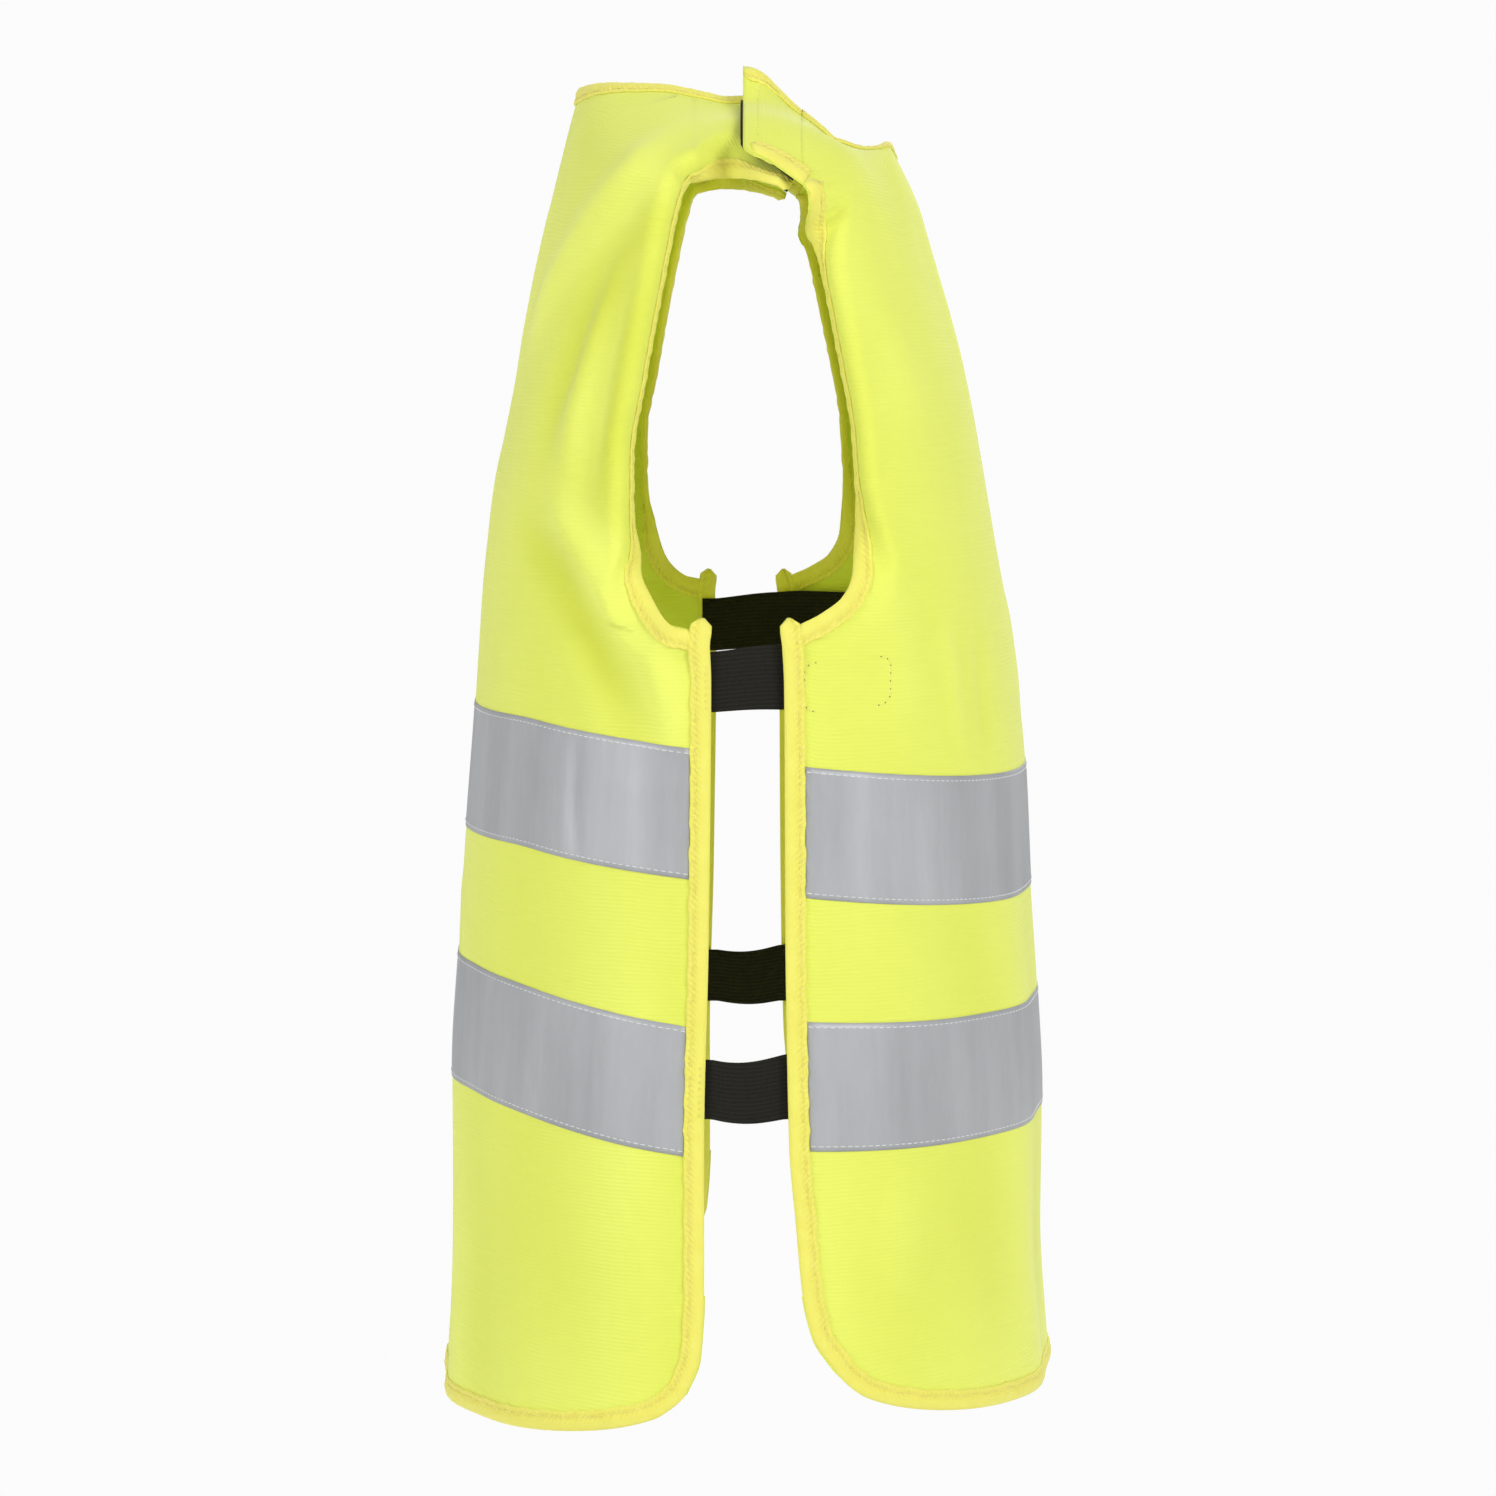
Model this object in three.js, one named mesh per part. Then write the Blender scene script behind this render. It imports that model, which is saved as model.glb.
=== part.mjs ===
// Child-size pull-over high visibility vest: two knitted panels that hang from the shoulders, joined
// by a peel-open flap on each shoulder and by two elastic straps on each side.
// Millimetres. +Z up, the wearer faces -Y, the wearer's right is -X. Origin under the middle of the hem.
import * as THREE from 'three';

// ---- sizes ----
const TAPE_WIDTH = 50;
const ELASTIC_WIDTH = 25;
const BINDING_LEAF = 10; // width of each folded side of the binding
const SHOULDER_STRIP = 19; // front-to-back width of the fastener strips on the shoulder
const PATCH_LENGTH = 34;
const PATCH_WIDTH = 21;
const HOOK_LENGTH = 30;
const HOOK_WIDTH = 19;

// ---- thicknesses and the clear space between layers ----
const KNIT = 0.8;
const TAPE = 0.5;
const BINDING = 0.65;
const ELASTIC = 1.2;
const FASTENER = 1.2;
const HOOK_TAB = 0.9;
const SPACE = 0.55;
const LEAF_SPACE = 1.3;
const CLEAR_OF_LEAF = 1; // a tape or column stands this far in from the binding's inner edge

// Heights of the layers, counted outward from the middle of the cloth beneath them.
const SKIN = KNIT / 2;
const OVER_SKIN = SKIN + SPACE;
const LOOP_TOP = OVER_SKIN + FASTENER;
const HOOK_FOOT = LOOP_TOP + 0.4;
const HOOK_TOP = HOOK_FOOT + FASTENER;
const FLAP_LIFT = HOOK_TOP + SPACE + SKIN + 0.6; // the bindings of tab and flap lie between them too

// ---- the shape the vest hangs in ----
const NECK_HALF_WIDTH = 62;
const NECK_FRONT = 61;
const NECK_BACK = 67;
const SHOULDER_END_X = 137;
const FOLD_Y = -19; // where the front panel folds over the shoulder
const FLAP_EDGE_Y = 2;
const TAB_END_Y = -15.5;
const SHOULDER_BACK_Y = 22;
const BODY_ROUNDNESS = 2.2;
const TO_ORIGIN = [0, -1.1, 1.97]; // puts the middle of the finished vest's underside at the origin

/** A smooth curve through [at, value] pairs that never overshoots them. */
function smooth(knots) {
  const gap = (i) => knots[i + 1][0] - knots[i][0];
  const rise = (i) => (knots[i + 1][1] - knots[i][1]) / gap(i);
  const last = knots.length - 1;
  const slope = knots.map((knot, i) => {
    if (i === 0) return rise(0);
    if (i === last) return rise(last - 1);
    const before = rise(i - 1);
    const after = rise(i);
    return before * after > 0 ? (2 * before * after) / (before + after) : 0;
  });
  return (at) => {
    if (at <= knots[0][0]) return knots[0][1] + slope[0] * (at - knots[0][0]);
    if (at >= knots[last][0]) return knots[last][1] + slope[last] * (at - knots[last][0]);
    let i = 0;
    while (at > knots[i + 1][0]) i += 1;
    const h = gap(i);
    const t = (at - knots[i][0]) / h;
    const a = 2 * t ** 3 - 3 * t ** 2 + 1;
    const b = t ** 3 - 2 * t ** 2 + t;
    const c = 3 * t ** 2 - 2 * t ** 3;
    const d = t ** 3 - t ** 2;
    return a * knots[i][1] + b * h * slope[i] + c * knots[i + 1][1] + d * h * slope[i + 1];
  };
}

const ease = (t) => {
  const k = Math.min(Math.max(t, 0), 1);
  return k * k * (3 - 2 * k);
};
const mix = (a, b, t) => a + (b - a) * t;

// Half width and depths of the body at each height.
const halfWidth = smooth([
  [0, 153.5], [70, 151.5], [150, 150], [300, 149], [420, 149.5], [450, 149.5],
  [468, 148.5], [480, 146.5], [490, 142.5], [498, 133], [506, 115.5], [529, 62], [545, 26],
]);
const frontDepth = smooth([
  [0, 121.5], [30, 120.5], [70, 119.5], [122, 120], [163, 118], [206, 115], [253, 113], [296, 108],
  [345, 100], [406, 89], [439, 80], [471, 70], [492, 64.5], [502, 60.5], [510, 50], [518, 39.5],
  [528, 31], [545, 22],
]);
const backDepth = smooth([
  [0, 123.5], [55, 121.6], [133, 121], [198, 117], [247, 113.5], [304, 109], [337, 106.5],
  [373, 101], [414, 93], [455, 85], [488, 77], [526, 67], [545, 58],
]);

// ---- points on the body ----

/** Below 0 inside the body, 0 on it. */
function level(x, y, z) {
  const depth = y < 0 ? frontDepth(z) : backDepth(z);
  return (Math.abs(x) / halfWidth(z)) ** BODY_ROUNDNESS + (Math.abs(y) / depth) ** BODY_ROUNDNESS - 1;
}

function slopeAt(p) {
  const h = 0.05;
  return new THREE.Vector3(
    level(p.x + h, p.y, p.z) - level(p.x - h, p.y, p.z),
    level(p.x, p.y + h, p.z) - level(p.x, p.y - h, p.z),
    level(p.x, p.y, p.z + h) - level(p.x, p.y, p.z - h),
  ).divideScalar(2 * h);
}

const outward = (p) => slopeAt(p).normalize();

/** The nearest place on the body. */
function ontoBody(point) {
  const p = point.clone();
  for (let step = 0; step < 12; step += 1) {
    const g = slopeAt(p);
    p.addScaledVector(g, -level(p.x, p.y, p.z) / g.lengthSq());
  }
  return p;
}

/** The place on the shoulder above a point of the plan. */
function onShoulder(x, y) {
  let low = 440;
  let high = 544;
  for (let step = 0; step < 40; step += 1) {
    const middle = (low + high) / 2;
    if (level(x, y, middle) < 0) low = middle;
    else high = middle;
  }
  return new THREE.Vector3(x, y, low);
}

/** The edge of the neck opening in plan. */
function neckX(y) {
  const [reach, power] = y < 0 ? [NECK_FRONT, 2.6] : [NECK_BACK, 2.4];
  return NECK_HALF_WIDTH * Math.max(1 - (Math.abs(y) / reach) ** power, 0) ** (1 / power);
}

// ---- the two panels ----
// Each is laid out in rows from hem to neck and in columns from the centre line to the side.
const COLUMNS = 13;
const NECK_COLUMNS = 7; // columns that end on the neckline; the rest end on the shoulder

const FRONT = {
  toward: -1,
  depth: frontDepth,
  sideY: smooth([
    [34, 33], [48, 25.5], [66, 22], [93, 20], [123, 17.5], [200, 15], [300, 13], [316, 12.2],
    [321, 17], [326, 27], [333, 36.5], [345, 42], [366, 43.5], [390, 42.5], [432, 35], [470, 27],
  ]),
  cornerZ: 34,
  hemZ: 6,
  dip: smooth([[34, 0], [66, 5], [146, 8], [243, 12], [330, 9], [400, 6], [470, 0]]),
  rows: [66, 94, 121.5, 146.5, 171.5, 195, 218, 243, 268, 290, 308, 316, 321, 326, 333, 345,
    366, 390, 415, 438, 455, 470],
  tapes: { upper: 218, lower: 121.5 },
  topSideY: smooth([[0, 27], [0.45, 23], [1, 19]]),
  topSideZ: smooth([[0, 470], [0.45, 481], [1, 492.5]]),
  lift: (p) => FLAP_LIFT * ease((p.y + 44) / 24) * ease((p.z - 452) / 34),
};

const BACK = {
  toward: 1,
  depth: backDepth,
  sideY: smooth([
    [25, 24], [40, 17], [66, 15], [120, 15.5], [200, 14], [300, 13.5], [318.5, 14.5], [321.5, 26.5],
    [326, 32], [334, 37.5], [346, 42], [364, 46], [386, 46], [410, 42], [436, 37.5], [475, 30],
  ]),
  cornerZ: 25,
  hemZ: 0,
  dip: () => 0,
  rows: [66, 95, 124, 149, 174, 200, 225, 250, 275, 297, 311, 318.5, 321.5, 326, 334, 346,
    364, 386, 410, 435, 457, 475],
  tapes: { upper: 225, lower: 124 },
  topSideY: smooth([[0, 30], [0.6, 26], [1, SHOULDER_BACK_Y]]),
  topSideZ: smooth([[0, 475], [0.6, 487], [1, 492.5]]),
  lift: () => 0,
};

/** A point of the body at one height, by its angle from the panel's centre line. */
function around(panel, angle, z) {
  const across = (Math.abs(Math.sin(angle)) / halfWidth(z)) ** BODY_ROUNDNESS;
  const ahead = (Math.abs(Math.cos(angle)) / panel.depth(z)) ** BODY_ROUNDNESS;
  const r = (across + ahead) ** (-1 / BODY_ROUNDNESS);
  return new THREE.Vector3(r * Math.sin(angle), panel.toward * r * Math.cos(angle), z);
}

/** Angles of the columns in the row at height z: even steps of cloth, the last under the binding. */
function columnAngles(panel, z) {
  const y = panel.sideY(z);
  const x = halfWidth(z) * (1 - (y / panel.depth(z)) ** BODY_ROUNDNESS) ** (1 / BODY_ROUNDNESS);
  const end = Math.atan2(x, y);
  const steps = 240;
  const run = [0];
  for (let i = 1; i <= steps; i += 1) {
    const from = around(panel, (end * (i - 1)) / steps, z);
    run.push(run[i - 1] + from.distanceTo(around(panel, (end * i) / steps, z)));
  }
  const under = BINDING_LEAF + CLEAR_OF_LEAF;
  const angles = [];
  for (let k = 0; k <= COLUMNS; k += 1) {
    const wanted = k === COLUMNS ? run[steps] : ((run[steps] - under) * k) / (COLUMNS - 1);
    let i = 1;
    while (i < steps && run[i] < wanted) i += 1;
    const part = (wanted - run[i - 1]) / (run[i] - run[i - 1]);
    angles.push((end * (i - 1 + part)) / steps);
  }
  return angles;
}

/** One row of body points from the centre line to the side, sagging at the centre by the panel's dip. */
function rowAt(panel, z) {
  return columnAngles(panel, z).map((angle, k) => {
    const out = k / COLUMNS;
    return around(panel, angle, z - panel.dip(z) * (1 - out * out));
  });
}

function hemRow(panel) {
  return columnAngles(panel, panel.cornerZ).map((angle, k) => {
    const out = k / COLUMNS;
    const climb = 0.6 * out ** 2.5 + 0.4 * out ** 12;
    return around(panel, angle, mix(panel.hemZ, panel.cornerZ, climb));
  });
}

/** The top of the main panel: the neckline, then straight across the shoulder. */
function topRow(panel) {
  const endY = panel === FRONT ? FOLD_Y : SHOULDER_BACK_Y;
  const reach = panel === FRONT ? NECK_FRONT : NECK_BACK;
  const endAngle = Math.asin(Math.min(neckX(endY) / NECK_HALF_WIDTH, 1));
  const row = [];
  for (let k = 0; k <= COLUMNS; k += 1) {
    if (k < NECK_COLUMNS) {
      const angle = (endAngle * k) / NECK_COLUMNS;
      const y = mix(panel.toward * reach * Math.cos(angle) ** 0.85, endY, (k / NECK_COLUMNS) ** 3);
      row.push(onShoulder(neckX(y), y));
    } else {
      row.push(onShoulder(shoulderX(k, endY), endY));
    }
  }
  return row;
}

/** The row next to the top one, a binding's width in from the neckline. */
function insetRow(panel, top) {
  const under = BINDING_LEAF + CLEAR_OF_LEAF;
  return top.map((p, k) => {
    if (k < NECK_COLUMNS) {
      const before = k ? top[k - 1] : mirrored(top[1]);
      const away = top[k + 1].clone().sub(before).cross(outward(p)).normalize();
      if (away.z > 0) away.negate();
      return ontoBody(p.clone().addScaledVector(away, under));
    }
    const y = p.y + panel.toward * under * 0.8;
    const shift = k === NECK_COLUMNS ? under : mix(under * 0.5, 0, (k - NECK_COLUMNS) / NECK_COLUMNS);
    return k === COLUMNS ? ontoBody(sidePoint(panel, panel.topSideY(0.7), panel.topSideZ(0.7)))
      : onShoulder(p.x + shift, y);
  });
}

/** Columns across the shoulder, the first and last under the bindings of its two edges. */
function shoulderX(k, y) {
  const under = BINDING_LEAF + CLEAR_OF_LEAF;
  const neck = neckX(y);
  const stops = COLUMNS - NECK_COLUMNS;
  if (k === NECK_COLUMNS) return neck;
  if (k === COLUMNS) return SHOULDER_END_X;
  const share = (k - NECK_COLUMNS - 1) / (stops - 2);
  return mix(neck + under, SHOULDER_END_X - under, share);
}

/** Rows that blend from one row to another while their outer ends follow the given edge. */
function between(from, to, shares, edge) {
  return shares.map((t) => {
    const straight = from[COLUMNS].clone().lerp(to[COLUMNS], t);
    const bend = edge(t).sub(straight);
    return from.map((p, k) => {
      const q = p.clone().lerp(to[k], t).addScaledVector(bend, (k / COLUMNS) ** 4);
      return ontoBody(q);
    });
  });
}

function sidePoint(panel, y, z) {
  const x = halfWidth(z) * (1 - (y / panel.depth(z)) ** BODY_ROUNDNESS) ** (1 / BODY_ROUNDNESS);
  return new THREE.Vector3(x, panel.toward * y, z);
}

/** All rows of one half of a panel, hem first. */
function halfPanel(panel) {
  const hem = hemRow(panel);
  const main = panel.rows.map((z) => rowAt(panel, z));
  const top = topRow(panel);
  const lower = between(hem, main[0], [0.25, 0.6], (t) => {
    const z = mix(panel.cornerZ, panel.rows[0], t);
    return sidePoint(panel, panel.sideY(z), z);
  });
  const inset = insetRow(panel, top);
  const upper = between(main[main.length - 1], inset, [0.35, 0.7], (t) => (
    ontoBody(sidePoint(panel, panel.topSideY(0.7 * t), panel.topSideZ(0.7 * t)))
  ));
  return [hem, ...lower, ...main, ...upper, inset, top];
}

const TAB_ROWS_Y = [14, 6, -2, -9, TAB_END_Y];
const FLAP_BINDING_Y = [FOLD_Y + 4.6, -11, -7, -2, FLAP_EDGE_Y]; // clear of the fold when peeled up
const FLAP_ROWS_Y = [FOLD_Y + 1.2, ...FLAP_BINDING_Y];

/** A row across the shoulder, with nothing in the neck's columns. */
function shoulderRow(y) {
  const row = [];
  for (let k = 0; k <= COLUMNS; k += 1) {
    row.push(k < NECK_COLUMNS ? null : onShoulder(shoulderX(k, y), y));
  }
  return row;
}

// ---- solids ----

/** The cloth's middle at a body point, and which way is out. */
function clothAt(p, lift) {
  if (!p) return null;
  const n = outward(p);
  return { at: p.clone().addScaledVector(n, lift), n };
}

const mirrored = (p) => (p ? new THREE.Vector3(-p.x, p.y, p.z) : null);

/** Both halves of a row, from the right side of the vest to the left. */
function wholeRow(half) {
  return [...half.slice(1).reverse().map(mirrored), ...half];
}

function geometryOf(vertices, faces) {
  const geometry = new THREE.BufferGeometry();
  const flat = vertices.flatMap((v) => [v.x, v.y, v.z]);
  geometry.setAttribute('position', new THREE.Float32BufferAttribute(flat, 3));
  geometry.setIndex(faces.flat());
  geometry.computeVertexNormals();
  return geometry;
}

/**
 * A closed sheet over rows of cloth points, from one height to another above their middle.
 * A null point leaves a hole in the layout. flatten, if given, changes the under side's points.
 */
function sheet(rows, low, high, flatten) {
  const id = new Map();
  const cloth = [];
  rows.forEach((row, r) => row.forEach((c, k) => {
    if (!c) return;
    id.set(`${r},${k}`, cloth.length);
    cloth.push(c);
  }));
  const top = cloth.map((c) => c.at.clone().addScaledVector(c.n, high));
  const bottom = cloth.map((c) => c.at.clone().addScaledVector(c.n, low));
  if (flatten) flatten(bottom, (r, k) => id.get(`${r},${k}`));
  const faces = [];
  for (let r = 0; r + 1 < rows.length; r += 1) {
    for (let k = 0; k + 1 < rows[r].length; k += 1) {
      const names = [`${r},${k}`, `${r},${k + 1}`, `${r + 1},${k + 1}`, `${r + 1},${k}`];
      const [a, b, c, d] = names.map((name) => id.get(name));
      if ([a, b, c, d].includes(undefined)) continue;
      const slant = cloth[a].at.distanceTo(cloth[c].at) <= cloth[b].at.distanceTo(cloth[d].at);
      faces.push(...(slant ? [[a, b, c], [a, c, d]] : [[a, b, d], [b, c, d]]));
    }
  }
  const [a, b, c] = faces[Math.floor(faces.length / 2)];
  const side = top[b].clone().sub(top[a]).cross(top[c].clone().sub(top[a]));
  const out = side.dot(cloth[a].n) > 0 ? faces : faces.map(([i, j, k]) => [i, k, j]);
  const n = cloth.length;
  const seen = new Set(out.flatMap(([i, j, k]) => [`${i},${j}`, `${j},${k}`, `${k},${i}`]));
  const rim = [];
  seen.forEach((edge) => {
    const [i, j] = edge.split(',').map(Number);
    if (seen.has(`${j},${i}`)) return;
    rim.push([i, j + n, j], [i, i + n, j + n]);
  });
  const under = out.map(([i, j, k]) => [i + n, k + n, j + n]);
  return geometryOf([...top, ...bottom], [...out, ...under, ...rim]);
}

// The folded binding's section: first number inward from the cloth's edge, second outward from it.
const FOLD_IN = LEAF_SPACE;
const FOLD_OUT = LEAF_SPACE + BINDING;
const LEAF_IN = SKIN + LEAF_SPACE;
const LEAF_OUT = SKIN + LEAF_SPACE + BINDING;
const SECTION = [
  [BINDING_LEAF, LEAF_OUT], [0, LEAF_OUT], [-FOLD_OUT, 0.3 * LEAF_OUT], [-FOLD_OUT, -0.3 * LEAF_OUT],
  [0, -LEAF_OUT], [BINDING_LEAF, -LEAF_OUT], [BINDING_LEAF, -LEAF_IN], [0, -LEAF_IN],
  [-FOLD_IN, 0], [0, LEAF_IN], [BINDING_LEAF, LEAF_IN],
];
const SECTION_ENDS = THREE.ShapeUtils.triangulateShape(
  SECTION.map(([a, b]) => new THREE.Vector2(a, b)),
  [],
);

/**
 * Binding folded round a run of edge points of the body. inside(i) is a point on the cloth's side of
 * the edge. next(i), if given, is the cloth's neighbouring point, which the leaves then lie towards.
 */
function bindingAlong(edge, inside, lift, next = () => null) {
  const vertices = [];
  const last = edge.length - 1;
  edge.forEach((p, i) => {
    const along = edge[Math.min(i + 1, last)].clone().sub(edge[Math.max(i - 1, 0)]);
    const n = outward(p);
    const inward = along.cross(n).normalize();
    if (inward.dot(inside(i).clone().sub(p)) < 0) inward.negate();
    const inner = next(i);
    SECTION.forEach(([a, b]) => {
      if (inner && a > 0) {
        const share = a / p.distanceTo(inner);
        const from = p.clone().addScaledVector(outward(p), lift(p) + b);
        const to = inner.clone().addScaledVector(outward(inner), lift(inner) + b);
        vertices.push(from.lerp(to, share));
        return;
      }
      const q = ontoBody(p.clone().addScaledVector(inward, a));
      vertices.push(q.clone().addScaledVector(outward(q), lift(q) + b));
    });
  });
  const m = SECTION.length;
  const faces = [];
  for (let i = 0; i < last; i += 1) {
    for (let j = 0; j < m; j += 1) {
      const a = i * m + j;
      const b = i * m + ((j + 1) % m);
      faces.push([a, b, b + m], [a, b + m, a + m]);
    }
  }
  const ends = SECTION_ENDS.flatMap(([a, b, c]) => (
    [[a, c, b], [a + last * m, b + last * m, c + last * m]]
  ));
  return facingOut(vertices, [...faces, ...ends]);
}

/** Turns every face over if the solid came out inside out. */
function facingOut(vertices, faces) {
  const volume = faces.reduce((sum, [a, b, c]) => (
    sum + vertices[a].dot(vertices[b].clone().cross(vertices[c]))
  ), 0);
  return geometryOf(vertices, volume > 0 ? faces : faces.map(([a, b, c]) => [a, c, b]));
}

// ---- materials ----
const KNIT_YELLOW = [0xdcea55, 0.9];
const BINDING_YELLOW = [0xece94b, 0.85];
const SILVER = [0xa9adb0, 0.55];
const BLACK = [0x161615, 0.9];

const vest = new THREE.Group();
vest.name = 'high_visibility_vest';

function add(name, geometry, [color, roughness]) {
  const material = new THREE.MeshStandardMaterial({ color, roughness, metalness: 0 });
  material.name = name;
  geometry.translate(...TO_ORIGIN);
  const mesh = new THREE.Mesh(geometry, material);
  mesh.name = name;
  vest.add(mesh);
}

/** A left-hand solid and its mirror image on the wearer's right. */
function addPair(name, solid, paint) {
  add(name.replace('SIDE', 'left'), solid(1), paint);
  add(name.replace('SIDE', 'right'), solid(-1), paint);
}

const onSide = (side) => (p) => (side > 0 || !p ? p : mirrored(p));

// ---- panels with their tapes and bindings ----
const halves = new Map([[FRONT, halfPanel(FRONT)], [BACK, halfPanel(BACK)]]);
const LOWER_ROWS = 3; // the hem row and the rows that blend up from it

/** Makes one flat seat under the tab, about 26 by 15 mm, so that it can rest on a flat hanger. */
function flattenSeat(rowCount) {
  return (points, at) => {
    const firstRow = rowCount - TAB_ROWS_Y.length;
    [1, -1].forEach((side) => {
      const corner = (r, k) => points[at(firstRow + r, COLUMNS + side * k)];
      const plane = new THREE.Plane().setFromCoplanarPoints(corner(1, 9), corner(1, 11), corner(3, 10));
      for (let r = 1; r <= 3; r += 1) {
        for (let k = 9; k <= 11; k += 1) {
          const p = corner(r, k);
          p.z -= plane.distanceToPoint(p) / plane.normal.z;
        }
      }
    });
  };
}

function panelRows(panel) {
  const rows = halves.get(panel).map(wholeRow);
  if (panel === BACK) rows.push(...TAB_ROWS_Y.map((y) => wholeRow(shoulderRow(y))));
  return rows;
}

function addPanel(name, panel) {
  const rows = panelRows(panel).map((row) => row.map((p) => p && clothAt(p, panel.lift(p))));
  const flatten = panel === BACK ? flattenSeat(rows.length) : null;
  add(`${name}_panel`, sheet(rows, -SKIN, SKIN, flatten), KNIT_YELLOW);
  Object.entries(panel.tapes).forEach(([which, foot]) => {
    const tapeRows = [0, 0.5, 1].map((t) => {
      const half = rowAt(panel, foot + TAPE_WIDTH * t).slice(0, COLUMNS);
      return wholeRow(half).map((p) => clothAt(p, 0));
    });
    add(`${name}_${which}_reflective_tape`, sheet(tapeRows, OVER_SKIN, OVER_SKIN + TAPE), SILVER);
  });
}

/** The side edges and hem in one run, up one side, as far as the armhole corners. */
function addSideHemBinding(name, panel) {
  const half = halves.get(panel);
  const cornerRow = panel.rows.findIndex((z) => z > 314 && z < 320);
  const side = half.slice(0, LOWER_ROWS + cornerRow + 1).map((row) => row[COLUMNS]);
  const hem = wholeRow(half[0]);
  const edge = [...[...side].reverse().map(mirrored), ...hem.slice(1, -1), ...side];
  const inside = (i) => {
    const p = edge[i];
    return p.clone().lerp(new THREE.Vector3(p.x * 0.7, p.y + panel.toward * 60, 150), 0.5);
  };
  add(`${name}_side_hem_binding`, bindingAlong(edge, inside, panel.lift), BINDING_YELLOW);
}

function addArmholeBindings(name, panel) {
  const half = halves.get(panel);
  const cornerRow = panel.rows.findIndex((z) => z > 320.5 && panel.sideY(z) > 25);
  const rows = half.slice(LOWER_ROWS + cornerRow);
  const upper = rows.map((row) => row[COLUMNS]);
  const neighbours = rows.map((row) => (row[COLUMNS].z > 440 ? row[COLUMNS - 1] : null));
  if (panel === BACK) {
    upper.push(...TAB_ROWS_Y.map((y) => onShoulder(SHOULDER_END_X, y)));
    neighbours.push(...TAB_ROWS_Y.map((y) => onShoulder(shoulderX(COLUMNS - 1, y), y)));
  }
  addPair(`${name}_armhole_binding_SIDE`, (side) => {
    const edge = upper.map(onSide(side));
    const inside = (i) => {
      const p = edge[i];
      return new THREE.Vector3(p.x * 0.6, p.y + panel.toward * 30, p.z);
    };
    return bindingAlong(edge, inside, panel.lift, (i) => onSide(side)(neighbours[i]));
  }, BINDING_YELLOW);
}

function addNeckBinding(name, panel) {
  const half = halves.get(panel);
  const neck = half[half.length - 1].slice(0, NECK_COLUMNS + 1);
  const neighbours = half[half.length - 2].slice(0, NECK_COLUMNS);
  const ends = panel === BACK ? [SHOULDER_BACK_Y, ...TAB_ROWS_Y] : [FOLD_Y];
  neck.splice(NECK_COLUMNS, 1, ...ends.map((y) => onShoulder(neckX(y), y)));
  neighbours.push(...ends.map((y) => onShoulder(shoulderX(NECK_COLUMNS + 1, y), y)));
  const next = wholeRow(neighbours);
  const edge = wholeRow(neck);
  const inside = (i) => {
    const p = edge[i];
    return new THREE.Vector3(p.x * 1.4, p.y * 1.4, p.z - 10);
  };
  add(`${name}_neck_binding`, bindingAlong(edge, inside, panel.lift, (i) => next[i]), BINDING_YELLOW);
}

addPanel('back', BACK);
addPanel('front', FRONT);
[['back', BACK], ['front', FRONT]].forEach(([name, panel]) => {
  addNeckBinding(name, panel);
  addArmholeBindings(name, panel);
  addSideHemBinding(name, panel);
});

// ---- shoulder flaps and their hook and loop strips ----
function addShoulders() {
  const lifted = (lift) => (p) => clothAt(p, lift);
  addPair('shoulder_flap_SIDE', (side) => {
    const rows = FLAP_ROWS_Y.map((y) => (
      shoulderRow(y).slice(NECK_COLUMNS).map(onSide(side)).map(lifted(FLAP_LIFT))
    ));
    return sheet(rows, -SKIN, SKIN);
  }, KNIT_YELLOW);

  const edges = { neck: neckX, armhole: () => SHOULDER_END_X };
  Object.entries(edges).forEach(([which, edgeX]) => {
    const column = which === 'neck' ? NECK_COLUMNS + 1 : COLUMNS - 1;
    const next = FLAP_BINDING_Y.map((y) => onShoulder(shoulderX(column, y), y));
    addPair(`shoulder_flap_${which}_binding_SIDE`, (side) => {
      const edge = FLAP_BINDING_Y.map((y) => onShoulder(edgeX(y), y)).map(onSide(side));
      const inside = () => new THREE.Vector3(side * 100, -8, 512);
      return bindingAlong(edge, inside, () => FLAP_LIFT, (i) => onSide(side)(next[i]));
    }, BINDING_YELLOW);
  });

  const strip = (fromY, low) => (side) => {
    const rows = [0, 1 / 3, 2 / 3, 1].map((t) => {
      const y = fromY + SHOULDER_STRIP * t;
      const columns = shoulderRow(y).slice(NECK_COLUMNS + 1, COLUMNS);
      return columns.map(onSide(side)).map(lifted(0));
    });
    return sheet(rows, low, low + FASTENER);
  };
  addPair('shoulder_loop_strip_SIDE', strip(-15, OVER_SKIN), BLACK);
  addPair('shoulder_hook_strip_SIDE', strip(-17.5, HOOK_FOOT), BLACK);
}

addShoulders();

// ---- side straps ----
const STRAPS = {
  upper: { z: 300, patchZ: 297 },
  lower: { z: 144, patchZ: 145 },
};
const PATCH_TOP = -SKIN - SPACE;
const HOOK_UNDER = PATCH_TOP - FASTENER - SPACE;
const STRAP_UNDER = HOOK_UNDER - HOOK_TAB - 0.4 - ELASTIC / 2; // the strap's middle inside the front panel

/** Points side by side down the body's flank: rows run front to back, columns run up. */
function flankRows(ys, heights, lift) {
  return ys.map((y) => heights.map((z) => {
    const panel = y < 0 ? FRONT : BACK;
    return clothAt(sidePoint(panel, Math.abs(y), z), lift(y));
  }));
}

function evenSteps(from, to, count) {
  return Array.from({ length: count + 1 }, (_, i) => mix(from, to, i / count));
}

const flipRow = (side) => (row) => row.map(({ at, n }) => (
  { at: onSide(side)(at), n: onSide(side)(n) }
));

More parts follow.
